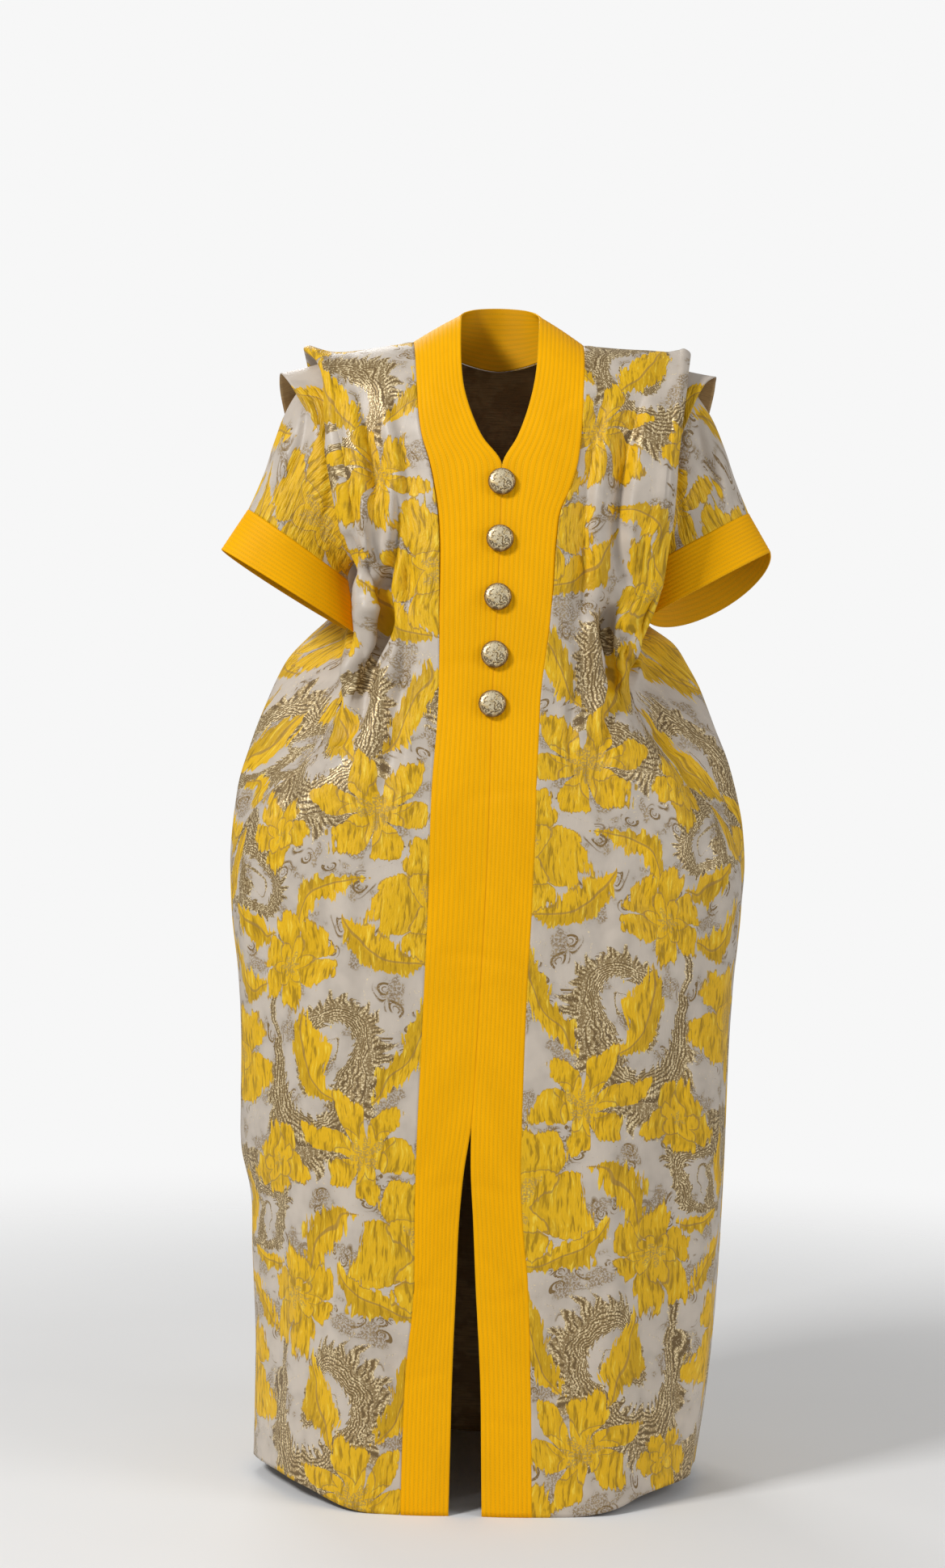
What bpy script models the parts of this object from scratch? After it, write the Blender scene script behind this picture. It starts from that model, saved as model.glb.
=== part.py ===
"""A grand boubou robe of brocade with yellow bands, in its worn shape: thin cloth walls round a hollow.

The tables are in millimetres and the meshes in metres. +X is the wearer's left, -Y the front, +Z up.
The origin is midway between the shoulders, where the wearer holds the robe up. In a table, x is the
distance out from the middle, a drop is the distance down from the shoulder line, and a column that ends
in _in is the distance into the robe from the panel's middle line. Seams run between rows of one table,
so that neighbours share their points and part only by the seam's gap.
"""
import math

import bmesh
import bpy
import numpy as np
from mathutils import Vector

MM = 0.001
CLOTH = 1.6  # thickness of the brocade
BAND_CLOTH = 2.2  # thickness of the padded, topstitched bands and cuffs
SEAM = 0.3  # gap between two pieces at a seam
LAYER = CLOTH + SEAM  # from one layer of cloth to the next, laid on it
SHOULDER_TRIM = 0.4  # half the gap between front and back where they meet at the shoulder's ridge

SHOULDER_TOP = 6.0  # height of the shoulder seam beside the neck
SHOULDER_SEAM_Y = 10.0
NECK_WIDTH = 104.5  # from the middle to the bands' outer edges at the shoulder seams
NECK_OPENING = 48.0  # half the opening between the bands at the shoulder seams
UNDERARM = 250.0  # drop of the armhole's lowest point
NOTCH_END = 264.0  # drop where the back panel's edge has come round under the arm
HEM = 1395.0
SLIT_TOP = 938.0
V_POINT = 169.0

ARCH_ROWS = [0, 6, 16, 30, 50, 74, 100, 130, 160, 190, 220, UNDERARM]
NOTCH_ROWS = [253.5, 257, 260.5]
LOWER_ROWS = [NOTCH_END, 288, 312, 336, 360, 388, 416, 444, 475, 508, 545, 585, 635, 700, 780, 860]
HEM_ROWS = [SLIT_TOP, 1000, 1050, 1130, 1240, 1340, HEM]
FRONT_ROWS = ARCH_ROWS + LOWER_ROWS + HEM_ROWS
BACK_ROWS = ARCH_ROWS + NOTCH_ROWS + LOWER_ROWS + HEM_ROWS
CATCH_UP_START, CATCH_UP_END = 190, 444  # drops between which the back's rows aren't level
# How much of the way to the row's own drop in the middle of the back each column has come
CATCH_UP_SHARES = {"rear": 0.75, "crest": 0.45, "wing": 0.2}

SIDES = {"right": -1, "left": 1}


class Table:
    """Rows of named columns; the first column is the key, and a column is read smoothly between rows."""

    def __init__(self, columns, rows):
        self.names = columns.split()
        self.rows = np.array(rows, float)

    def read(self, name, key):
        xs, ys = self.rows[:, 0], self.rows[:, self.names.index(name)]
        steps, slopes = np.diff(xs), np.diff(ys) / np.diff(xs)
        before, after = slopes[:-1], slopes[1:]
        same_way = before * after > 0
        total = np.where(same_way, before + after, 1.0)
        inner = np.where(same_way, 2 * before * after / total, 0.0)
        tangents = np.concatenate([[slopes[0]], inner, [slopes[-1]]])
        key = min(max(key, xs[0]), xs[-1])
        i = min(int(np.searchsorted(xs, key, side="right")) - 1, len(steps) - 1)
        t = (key - xs[i]) / steps[i]
        return (
            (1 + 2 * t) * (1 - t) ** 2 * ys[i]
            + t * (1 - t) ** 2 * steps[i] * tangents[i]
            + t * t * (3 - 2 * t) * ys[i + 1]
            + t * t * (t - 1) * steps[i] * tangents[i + 1]
        )


# How far forward the front's middle line lies, and how far its rows lean back over the shoulder
FRONT_LINE = Table("drop y tilt", [
    (0, SHOULDER_SEAM_Y, 0),
    (5, -14, 22),
    (13, -32, 38),
    (25, -49, 52),
    (41, -65, 63),
    (61, -78, 72),
    (85, -88, 79),
    (140, -103, 87),
    (196, -113, 90),
    (300, -121, 90),
    (410, -130, 90),
    (510, -142, 90),
    (665, -158, 90),
    (830, -172, 90),
    (1000, -184, 90),
    (1210, -194, 90),
    (HEM, -200, 90),
])
BACK_LINE = Table("drop y tilt", [
    (0, SHOULDER_SEAM_Y, 0),
    (5, 34, 22),
    (13, 52, 38),
    (25, 68, 52),
    (41, 82, 63),
    (61, 92, 72),
    (85, 99, 79),
    (140, 109, 87),
    (196, 116, 90),
    (285, 127, 90),
    (360, 142, 90),
    (440, 160, 90),
    (545, 184, 90),
    (665, 198, 90),
    (895, 204, 90),
    (HEM, 200, 90),
])

FRONT_COLUMNS = (
    "drop band chest chest_in edge edge_in trough trough_in fold fold_in seam seam_in"
)
FRONT = {
    "right": Table(FRONT_COLUMNS, [
        (0, NECK_WIDTH, 150, 8, 186, 14, 212, 14, 241, 10, 206, 22),
        (25, 101, 142, 6, 176, 12, 200, 14, 221, 14, 190, 26),
        (61, 98, 136, 5, 168, 10, 190, 14, 211, 18, 180, 31),
        (112, 94, 130, 4, 162, 8, 186, 14, 208, 23, 177, 36),
        (168, 79, 116, 3, 150, 7, 174, 14, 196, 26, 165, 39),
        (223, 69, 104, 3, 136, 8, 160, 16, 186, 28, 155, 43),
        (264, 66, 96, 3, 122, 10, 146, 20, 177, 31, 147, 50),
        (310, 65, 90, 4, 114, 14, 130, 34, 158, 38, 139, 62),
        (360, 64, 92, 6, 120, 18, 131, 46, 158, 50, 146, 78),
        (410, 63, 100, 9, 142, 23, 150, 47, 168, 52, 160, 86),
        (440, 63, 104, 9, 150, 26, 160, 46, 171, 58, 172, 92),
        (475, 64, 104, 7, 150, 18, 166, 32, 178, 54, 190, 88),
        (510, 66, 106, 6, 152, 14, 178, 26, 198, 50, 212, 84),
        (545, 68, 110, 5, 156, 12, 196, 24, 226, 52, 246, 86),
        (580, 69, 114, 5, 164, 12, 216, 30, 262, 66, 284, 102),
        (620, 69, 118, 5, 172, 13, 236, 38, 288, 80, 306, 120),
        (665, 69, 120, 5, 176, 14, 244, 42, 296, 90, 313, 134),
        (740, 71, 121, 5, 176, 15, 243, 45, 290, 95, 304, 142),
        (830, 73, 122, 5, 176, 16, 240, 50, 276, 100, 293, 150),
        (1000, 77, 124, 5, 176, 18, 232, 56, 269, 108, 286, 160),
        (1050, 77, 124, 5, 174, 19, 226, 58, 258, 110, 274, 163),
        (1140, 76, 124, 5, 172, 20, 222, 62, 254, 114, 269, 168),
        (1280, 86, 126, 5, 170, 22, 217, 66, 248, 120, 263, 176),
        (HEM, 86, 126, 5, 168, 24, 216, 70, 248, 124, 264, 180),
    ]),
    "left": Table(FRONT_COLUMNS, [
        (0, NECK_WIDTH, 150, 3, 186, 4, 212, 5, 238, 6, 205, 20),
        (25, 105, 148, 4, 184, 8, 208, 11, 233, 14, 200, 27),
        (61, 104, 146, 5, 182, 10, 206, 15, 229, 20, 197, 33),
        (112, 102, 142, 5, 176, 11, 201, 17, 223, 25, 191, 38),
        (168, 96, 134, 4, 168, 10, 194, 18, 219, 29, 187, 42),
        (223, 77, 116, 4, 150, 10, 186, 20, 215, 32, 176, 46),
        (264, 73, 108, 4, 136, 12, 172, 26, 209, 36, 164, 52),
        (310, 71, 100, 5, 124, 16, 156, 38, 202, 41, 157, 60),
        (335, 69, 98, 6, 120, 18, 145, 48, 194, 45, 153, 68),
        (360, 67, 96, 7, 126, 20, 143, 54, 184, 50, 152, 78),
        (385, 64, 96, 8, 134, 24, 146, 56, 172, 53, 154, 86),
        (410, 61, 96, 9, 138, 26, 150, 50, 164, 56, 160, 92),
        (440, 58, 94, 8, 136, 22, 152, 40, 166, 58, 172, 94),
        (475, 57, 92, 7, 134, 16, 160, 32, 178, 54, 190, 90),
        (510, 56, 96, 6, 140, 14, 176, 28, 202, 52, 216, 86),
        (545, 55, 104, 5, 150, 12, 198, 28, 232, 56, 250, 90),
        (580, 55, 110, 5, 160, 12, 218, 32, 262, 68, 283, 104),
        (620, 54, 114, 5, 170, 13, 236, 40, 288, 82, 306, 122),
        (665, 53, 116, 5, 174, 14, 244, 44, 295, 92, 312, 136),
        (830, 47, 112, 5, 172, 16, 242, 52, 284, 102, 301, 152),
        (1000, 45, 112, 5, 172, 18, 240, 58, 282, 110, 299, 162),
        (1140, 57, 116, 5, 172, 20, 238, 62, 278, 114, 294, 168),
        (1280, 63, 118, 5, 170, 22, 232, 66, 268, 120, 284, 176),
        (HEM, 66, 118, 5, 166, 24, 222, 70, 254, 124, 270, 180),
    ]),
}

# Centre line of the front, where the bands meet, and how far each inner edge leaves it in the V
CENTRE_LINE = Table("drop x", [
    (0, 2), (V_POINT, 7), (323, 5), (451, 1), (580, 0), (858, -9), (SLIT_TOP, -13), (1000, -16), (HEM, -12),
])
BAND_INNER = {
    "right": Table("drop opening rise back", [
        (0, NECK_OPENING, 36, 6),
        (25, 49, 24, 4),
        (56, 48, 8, 1),
        (V_POINT - 48, 29, 0, 0),
        (V_POINT - 2, 0, 0, 0),
        (SLIT_TOP, 0, 0, 0),
        (1036, 9, 0, 0),
        (1148, 13, 0, 0),
        (1231, 16, 0, 0),
        (HEM, 19, 0, 0),
    ]),
    "left": Table("drop opening rise back", [
        (0, NECK_OPENING, 36, 6),
        (25, 46, 24, 4),
        (56, 42, 8, 1),
        (V_POINT - 48, 22, 0, 0),
        (V_POINT - 2, 0, 0, 0),
        (SLIT_TOP, 0, 0, 0),
        (1036, 6, 0, 0),
        (1148, 12, 0, 0),
        (1231, 17, 0, 0),
        (HEM, 20, 0, 0),
    ]),
}

# The back: at the shoulder its outer columns are the pleat's fold and its turned-under edge; below the
# arm the same columns are the balloon's widest line and the deep hollow in front of it
BACK_COLUMNS = (
    "drop rear rear_in crest crest_in wing wing_in hollow hollow_in seam seam_in"
)
BACK = {
    "right": Table(BACK_COLUMNS, [
        (0, 150, 8, 204, 14, 241, 10, 222, 16, 206, 22),
        (25, 146, 6, 200, 16, 236, 18, 214, 25, 196, 30),
        (61, 140, 6, 192, 18, 228, 24, 208, 32, 188, 37),
        (112, 132, 7, 182, 21, 218, 30, 198, 39, 180, 44),
        (168, 124, 8, 168, 24, 204, 36, 184, 45, 168, 50),
        (223, 116, 9, 154, 26, 186, 40, 168, 50, 154, 54),
        (UNDERARM, 114, 10, 146, 27, 174, 44, 160, 54, 150, 58),
        (NOTCH_END, 114, 10, 148, 28, 182, 50, 160, 112, 136, 192),
        (310, 118, 10, 152, 33, 184, 66, 156, 128, 136, 0),
        (335, 126, 10, 170, 34, 200, 68, 158, 132, 136, 0),
        (360, 138, 11, 188, 34, 226, 72, 162, 138, 146, 0),
        (385, 148, 13, 206, 38, 250, 86, 170, 152, 152, 0),
        (410, 156, 15, 218, 46, 264, 104, 180, 168, 160, 0),
        (440, 162, 17, 228, 54, 276, 122, 196, 184, 172, 0),
        (475, 168, 19, 238, 63, 289, 140, 216, 198, 190, 0),
        (510, 172, 21, 247, 70, 300, 154, 242, 208, 212, 0),
        (545, 176, 22, 255, 74, 310, 164, 272, 208, 246, 0),
        (580, 180, 24, 260, 76, 315, 168, 300, 204, 284, 0),
        (620, 184, 26, 262, 77, 318, 168, 313, 200, 306, 0),
        (665, 186, 28, 262, 76, 317, 166, 317, 196, 313, 0),
        (740, 184, 29, 256, 76, 307, 165, 309, 197, 304, 0),
        (830, 180, 30, 246, 76, 295, 164, 298, 198, 293, 0),
        (1000, 174, 32, 238, 76, 287, 162, 290, 200, 286, 0),
        (1050, 170, 32, 229, 75, 275, 162, 278, 201, 274, 0),
        (1140, 167, 32, 225, 74, 269, 162, 273, 202, 269, 0),
        (1280, 163, 32, 220, 74, 263, 160, 267, 202, 263, 0),
        (HEM, 161, 32, 218, 72, 263, 156, 267, 202, 264, 0),
    ]),
    "left": Table(BACK_COLUMNS, [
        (0, 150, 3, 204, 6, 238, 6, 220, 13, 205, 20),
        (25, 148, 6, 204, 13, 236, 17, 214, 25, 198, 31),
        (61, 144, 6, 200, 18, 231, 24, 210, 32, 192, 38),
        (112, 138, 7, 192, 21, 224, 31, 204, 39, 187, 45),
        (168, 130, 8, 180, 25, 214, 36, 196, 45, 180, 51),
        (223, 122, 9, 168, 26, 202, 40, 182, 50, 168, 55),
        (UNDERARM, 118, 10, 160, 27, 190, 44, 174, 54, 161, 59),
        (NOTCH_END, 117, 10, 157, 28, 182, 50, 164, 112, 176, 192),
        (310, 118, 10, 156, 33, 176, 66, 160, 128, 170, 0),
        (335, 126, 10, 168, 34, 190, 68, 158, 132, 164, 0),
        (360, 138, 11, 188, 34, 226, 72, 162, 138, 160, 0),
        (385, 148, 13, 202, 38, 243, 86, 169, 152, 158, 0),
        (410, 156, 15, 212, 46, 257, 104, 182, 168, 162, 0),
        (440, 162, 17, 222, 54, 269, 122, 196, 184, 172, 0),
        (475, 168, 19, 232, 63, 282, 140, 216, 198, 190, 0),
        (510, 172, 21, 243, 70, 296, 154, 244, 208, 216, 0),
        (545, 176, 22, 252, 74, 306, 164, 272, 208, 250, 0),
        (580, 180, 24, 259, 76, 314, 168, 299, 204, 283, 0),
        (620, 184, 26, 262, 77, 319, 168, 313, 200, 306, 0),
        (665, 186, 28, 262, 76, 317, 166, 316, 196, 312, 0),
        (830, 182, 30, 250, 76, 303, 164, 306, 198, 301, 0),
        (1000, 178, 32, 247, 76, 300, 162, 303, 200, 299, 0),
        (1140, 174, 32, 243, 74, 295, 162, 298, 202, 294, 0),
        (1280, 168, 32, 236, 74, 286, 160, 289, 202, 284, 0),
        (HEM, 162, 32, 224, 72, 270, 156, 274, 202, 270, 0),
    ]),
}
# Divisions of the rows between their columns, and of the neckline on each side of its middle
FRONT_RUNS = (2, 3, 2, 2, 1, 1, 2)
BACK_RUNS = (2, 3, 2, 1, 1, 2, 2)
NECKLINE_RUNS = (3, 3)
NECK_DROP = 25.0  # drop of the neckline's lowest point, at the middle of the back
NECK_FADE = 95.0  # drop from which the back's rows no longer follow the neckline
# Inner edge of the back neck band, from the shoulder seam round to the middle of the back
NECK_BAND_TOP = Table("turn x y z", [
    (0, NECK_OPENING, 16, 42), (0.33, 43, 37, 50), (0.67, 27, 55, 57), (0.87, 11, 62.5, 59.6), (1, 0, 64, 60),
])

# Soft waves that run down the skirt
WAVES = ((9, 0.6, 3.4), (14, 2.1, 2.2), (5, 1.3, 2.0))  # number round the robe, phase, height
WAVES_START, WAVES_FULL = 560.0, 1050.0
WAVES_CLEAR_OF_BAND = (80.0, 150.0)
HEM_RISE = 20.0  # how much higher the hem hangs at the robe's sides
HEM_RISE_WIDTHS = (110.0, 240.0)  # distances from the middle over which it rises
HEM_RISE_START = 1000.0

# Lower pleat of each shoulder: the open rim that stands over the sleeve, from front to back
RIM_COLUMNS = "turn x y z"
PLEAT_RIM = {
    "right": Table(RIM_COLUMNS, [
        (0.0, 204, -64, -142),
        (0.12, 215, -62, -118),
        (0.25, 236, -52, -84),
        (0.38, 256, -32, -52),
        (0.5, 268, -4, -38),
        (0.62, 271, 26, -50),
        (0.75, 266, 50, -80),
        (0.88, 250, 64, -118),
        (1.0, 226, 66, -152),
    ]),
    "left": Table(RIM_COLUMNS, [
        (0.0, 220, -56, -122),
        (0.12, 230, -56, -96),
        (0.25, 243, -46, -64),
        (0.38, 258, -24, -39),
        (0.5, 270, -2, -31),
        (0.62, 271, 26, -42),
        (0.75, 266, 48, -72),
        (0.88, 254, 62, -110),
        (1.0, 232, 66, -150),
    ]),
}

PLEAT_ROWS = 7  # rows of the armhole on each side of the shoulder seam that the lower pleat spans
PLEAT_RUNS = 4
PLEAT_SAG = 1.5
NOTCH_SAG = 6.0  # how far the edge under the arm hangs below a straight line
HOLLOW_HANG = 9.0  # how far the side cloth hangs below it
HOLLOW_SHARE = 0.55  # where on the way from the widest line to the armhole's edge that cloth hangs
HOLLOW_FREE = 345.0  # drop from which the side cloth is free of the armhole's edge
FOLD_RADIUS = 3.5  # of a fold where the cloth turns back on itself
BEND_RADIUS = 40.0  # of a slight bend
FOLD_REACH = 0.4  # share of the way to the next column that a fold's rounding may take

BAND_RUNS = 4
BAND_BOW = 1.2  # how far a band bows out between its edges

# Sleeve rings: the line where the cuff is sewn on, and the cuff's hem. The long axis runs from the
# underarm end to the outer end; the rear of a ring hangs lower than its front by rear_drop
RING_COLUMNS = "ring inner_x inner_z outer_x outer_z y depth rear_drop"
SLEEVE_RINGS = {
    "right": Table(RING_COLUMNS, [
        (0, 180, -292, 304, -207, -4, 40, 2),
        (1, 170, -356, 336, -257, -4, 43, 4),
    ]),
    "left": Table(RING_COLUMNS, [
        (0, 186, -270, 313, -199, -2, 40, 16),
        (1, 190, -330, 341, -246, -2, 44, 34),
    ]),
}
SLEEVE_SWELL = 9.0  # how far the sleeve's top rounds out beyond a straight line
SLEEVE_DIP = 12.0  # how far the sleeve's root heads inward, under the lower pleat
SLEEVE_REACH = 0.36  # share of its length over which the sleeve keeps the direction of its ends
SLEEVE_RUNS = 5
CUFF_RUNS = 2
UNDERARM_CLEAR = 2.6  # from the armhole's lowest edge to the middle of the sleeve's wall
UNDERARM_LIFT = 45.0  # height over which the sleeve's root rises clear of the armhole's lowest edge
UNDER_POINTS = 4  # points of the sleeve's ring under the arm

BUTTON_DROPS = [185, 253, 323, 392, 451]
BUTTON_WIDTH = 33.0
BUTTON_HEIGHT = 9.0
BUTTON_RIM = 1.6  # height of the flat rim round the dome
DOME_SHARE = 0.86  # of the button's width
DOME_ANGLES = (90, 62, 38, 18, 0)
BUTTON_STEPS = 20


def section_to_world(line, side, drop, x, inward, facing):
    """A point of a row: x out from the middle, inward from the row's line; facing is 1 front, -1 back."""
    tilt = math.radians(line.read("tilt", drop))
    y = line.read("y", drop) + facing * inward * math.sin(tilt)
    z = SHOULDER_TOP - drop - inward * math.cos(tilt)
    return Vector((SIDES[side] * x, y, z))


def inward_normal(line, drop, facing):
    tilt = math.radians(line.read("tilt", drop))
    return Vector((0, facing * math.sin(tilt), -math.cos(tilt)))


def smoothstep(low, high, value):
    t = min(max((value - low) / (high - low), 0.0), 1.0)
    return t * t * (3 - 2 * t)


def hung(point):
    """The point moved by the skirt's soft waves, and up where the hem rises at the sides."""
    drop, reach = SHOULDER_TOP - point.z, abs(point.x)
    if drop < WAVES_START:
        return point
    size = smoothstep(WAVES_START, WAVES_FULL, drop)
    if point.y < 0:
        size *= smoothstep(*WAVES_CLEAR_OF_BAND, reach)
    turn = math.atan2(point.x, -point.y)
    height = sum(high * math.cos(number * turn + phase) for number, phase, high in WAVES)
    out = Vector((point.x, point.y, 0)).normalized()
    rise = HEM_RISE * smoothstep(*HEM_RISE_WIDTHS, reach) * smoothstep(HEM_RISE_START, HEM, drop)
    return point + out * height * size + Vector((0, 0, rise))


def along(points, counts, before=None, after=None):
    """Points on a smooth curve through the given ones, counts to each span. The curve leaves its ends
    as if it ran on to before and after."""
    before = before or points[0] * 2 - points[1]
    after = after or points[-1] * 2 - points[-2]
    stops = [before, *points, after]
    knots = [0.0]
    for a, b in zip(stops, stops[1:]):
        knots.append(knots[-1] + math.sqrt((b - a).length))
    found = [points[0]]
    for i, count in enumerate(counts):
        p0, p1, p2, p3 = stops[i:i + 4]
        k0, k1, k2, k3 = knots[i:i + 4]
        leave = ((p1 - p0) / (k1 - k0) - (p2 - p0) / (k2 - k0)) * (k2 - k1) + (p2 - p1)
        arrive = ((p3 - p2) / (k3 - k2) - (p3 - p1) / (k3 - k1)) * (k2 - k1) + (p2 - p1)
        for step in range(1, count + 1):
            t = step / count
            found.append(
                p1 * (1 + 2 * t) * (1 - t) ** 2 + leave * t * (1 - t) ** 2
                + p2 * t * t * (3 - 2 * t) - arrive * t * t * (1 - t)
            )
    return found


def rounded(before, fold, after):
    """Three points that round a fold: tight where the cloth turns back on itself, wide where it bends
    a little."""
    to_fold, from_fold = (fold - before).normalized(), (after - fold).normalized()
    half_turn = to_fold.angle(from_fold) / 2
    room = min((fold - before).length, (after - fold).length) * FOLD_REACH
    radius = FOLD_RADIUS + BEND_RADIUS * math.cos(half_turn) ** 2
    radius = min(radius, room / max(math.sin(half_turn), 0.1))
    way = (to_fold + from_fold).normalized() * radius * math.sin(half_turn)
    inside = (from_fold - to_fold).normalized() * radius * (1 - math.cos(half_turn))
    return [fold - way + inside, fold, fold + way + inside]


def table_point(table, line, side, drop, name, facing):
    return section_to_world(line, side, drop, table.read(name, drop), table.read(name + "_in", drop), facing)


def front_row(side, drop):
    """A row of a front panel, from the band's seam over the chest and the fold to the side seam."""
    table = FRONT[side]
    band = section_to_world(FRONT_LINE, side, drop, table.read("band", drop), 0, 1)
    chest, edge, trough, fold, seam = (
        table_point(table, FRONT_LINE, side, drop, name, 1)
        for name in ("chest", "edge", "trough", "fold", "seam")
    )
    beyond = None
    if drop >= NOTCH_END:
        beyond = back_hollow(side, drop)
    points = [band, chest, edge, trough, *rounded(trough, fold, seam), seam]
    return [hung(p) for p in along(points, FRONT_RUNS, after=beyond)]


def back_drops():
    """Pairs of drops for the back's rows, at the outer edge and at the middle. The edge's rows crowd
    together as they pass under the arm, while the middle's stay evenly spaced."""
    first, last = BACK_ROWS.index(CATCH_UP_START), BACK_ROWS.index(CATCH_UP_END)
    pairs = []
    for i, drop in enumerate(BACK_ROWS):
        middle = drop
        if first < i < last:
            middle = CATCH_UP_START + (CATCH_UP_END - CATCH_UP_START) * (i - first) / (last - first)
        if drop < NECK_FADE:
            middle = drop + NECK_DROP * (1 - drop / NECK_FADE)
        pairs.append((drop, middle))
    return pairs


def back_point(side, drop, middle_drop, name):
    """A point of one of the back's columns. Nearer the middle, a row has come further towards its drop
    in the middle."""
    at = drop
    if drop >= NECK_FADE:
        at += (middle_drop - drop) * CATCH_UP_SHARES[name]
    return table_point(BACK[side], BACK_LINE, side, at, name, -1)


def back_hollow(side, drop):
    """The back panel's line between its widest part and its outer edge. Just below the armhole it hangs
    straight down from the edge."""
    hollow = table_point(BACK[side], BACK_LINE, side, drop, "hollow", -1)
    if not UNDERARM < drop < HOLLOW_FREE:
        return hollow
    wing = table_point(BACK[side], BACK_LINE, side, drop, "wing", -1)
    free = wing.lerp(back_edge(side, drop), HOLLOW_SHARE) + Vector((0, 0, -HOLLOW_HANG))
    return free.lerp(hollow, smoothstep(NOTCH_END, HOLLOW_FREE, drop))


def back_row(drop, middle_drop):
    """A row of the back, from the right side seam or armhole to the left one."""
    halves, beyond = {}, {}
    for side in SIDES:
        neck_drop = drop if drop < NECK_FADE else middle_drop
        half = [section_to_world(BACK_LINE, side, neck_drop, NECK_WIDTH, 0, -1)]
        half.extend(back_point(side, drop, middle_drop, name) for name in ("rear", "crest"))
        wing, hollow = back_point(side, drop, middle_drop, "wing"), back_hollow(side, drop)
        half.extend([*rounded(half[-1], wing, hollow), hollow, back_edge(side, drop)])
        halves[side] = half
        beyond[side] = front_fold(side, drop) if drop >= NOTCH_END else None
    # At the shoulder seams the neckline leaves the row at a corner, which lower rows smooth away
    corner = 1 - smoothstep(0, NECK_FADE, drop)
    middle = section_to_world(BACK_LINE, "left", middle_drop, 0, 0, -1)
    outer = {}
    for side, half in halves.items():
        straight = half[0] * 2 - half[1]
        outer[side] = along(half, BACK_RUNS, before=middle.lerp(straight, corner), after=beyond[side])
    turns = {
        side: half[1].lerp(half[0] * 2 - middle, corner) for side, half in halves.items()
    }
    ends = [halves["right"][0], middle, halves["left"][0]]
    neckline = along(ends, NECKLINE_RUNS, before=turns["right"], after=turns["left"])
    row = [*reversed(outer["right"]), *neckline[1:-1], *outer["left"]]
    return [hung(p) for p in row]


def front_fold(side, drop):
    """The point of the front's row just before its side seam."""
    table = FRONT[side]
    trough, fold, seam = (
        table_point(table, FRONT_LINE, side, drop, name, 1) for name in ("trough", "fold", "seam")
    )
    return rounded(trough, fold, seam)[-1]


def back_edge(side, drop):
    """The back panel's outer edge: armhole, then round under the arm, then the front's side seam."""
    if drop <= UNDERARM:
        return table_point(BACK[side], BACK_LINE, side, drop, "seam", -1)
    if drop < NOTCH_END:
        return notch_point(side, (drop - UNDERARM) / (NOTCH_END - UNDERARM))
    return front_edge(side, drop)


def front_edge(side, drop):
    """The front panel's outer edge: turned under behind the fold, then the side seam."""
    return table_point(FRONT[side], FRONT_LINE, side, drop, "seam", 1)


def notch_point(side, turn):
    """The edge under the arm, from the back at turn 0 to the front at turn 1, sagging in between."""
    back, front = back_edge(side, UNDERARM), front_edge(side, NOTCH_END)
    return back.lerp(front, turn) + Vector((0, 0, -4 * NOTCH_SAG * turn * (1 - turn)))


def bowed(inner, outer, out):
    """Points from a band's inner edge to its outer one, bowed a little outward between them."""
    return [
        inner.lerp(outer, k / BAND_RUNS) + out * BAND_BOW * math.sin(math.pi * k / BAND_RUNS)
        for k in range(BAND_RUNS + 1)
    ]


def band_row(side, drop):
    """A row of a front band, from the middle, the V's edge or the slit's edge out to the front panel."""
    table = BAND_INNER[side]
    inner = section_to_world(FRONT_LINE, side, drop, 0, 0, 1)
    inner.x = CENTRE_LINE.read("x", drop) + SIDES[side] * table.read("opening", drop)
    inner += Vector((0, table.read("back", drop), table.read("rise", drop)))
    return bowed(inner, front_row(side, drop)[0], -inward_normal(FRONT_LINE, drop, 1))


def neck_band_rows():
    """Rows of the band behind the neck, from the right shoulder seam to the left one."""
    neckline = back_row(*back_drops()[0])
    first = next(i for i, p in enumerate(neckline) if abs(p.x + NECK_WIDTH) < 1e-3)
    outer = neckline[first:len(neckline) - first]
    rows = []
    for i, base in enumerate(outer):
        turn = 2 * i / (len(outer) - 1) - 1
        reach = 1 - abs(turn)
        top = Vector((
            CENTRE_LINE.read("x", 0) + math.copysign(NECK_BAND_TOP.read("x", reach), turn),
            NECK_BAND_TOP.read("y", reach),
            NECK_BAND_TOP.read("z", reach),
        ))
        out = Vector((0, reach, 1 - reach)).normalized()
        rows.append(bowed(top, base, out))
    return rows


def armhole(side):
    """The armhole's rim as (point, inward normal, drop), from the front under the arm, up over the
    shoulder and down the back."""
    front = [(front_edge(side, d), inward_normal(FRONT_LINE, d, 1), d) for d in reversed(ARCH_ROWS)]
    back = [(back_edge(side, d), inward_normal(BACK_LINE, d, -1), d) for d in ARCH_ROWS[1:]]
    return front + back


def cubic(a, b, c, d, t):
    """A point of a Bezier curve."""
    u = 1 - t
    return a * u ** 3 + b * 3 * u * u * t + c * 3 * u * t * t + d * t ** 3


def pleat_rows(side):
    """The lower pleat of a shoulder, from under the upper one out to its open rim."""
    rim = PLEAT_RIM[side]
    middle = len(ARCH_ROWS) - 1
    arch = armhole(side)[middle - PLEAT_ROWS:middle + PLEAT_ROWS + 1]
    rows = []
    for i, (point, normal, _) in enumerate(arch):
        turn = i / (len(arch) - 1)
        root = point + normal * LAYER
        edge = Vector((SIDES[side] * rim.read("x", turn), rim.read("y", turn), rim.read("z", turn)))
        near, far = (root.lerp(edge, share) + normal * PLEAT_SAG for share in (0.33, 0.67))
        rows.append([cubic(root, near, far, edge, k / PLEAT_RUNS) for k in range(PLEAT_RUNS + 1)])
    return rows


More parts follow.
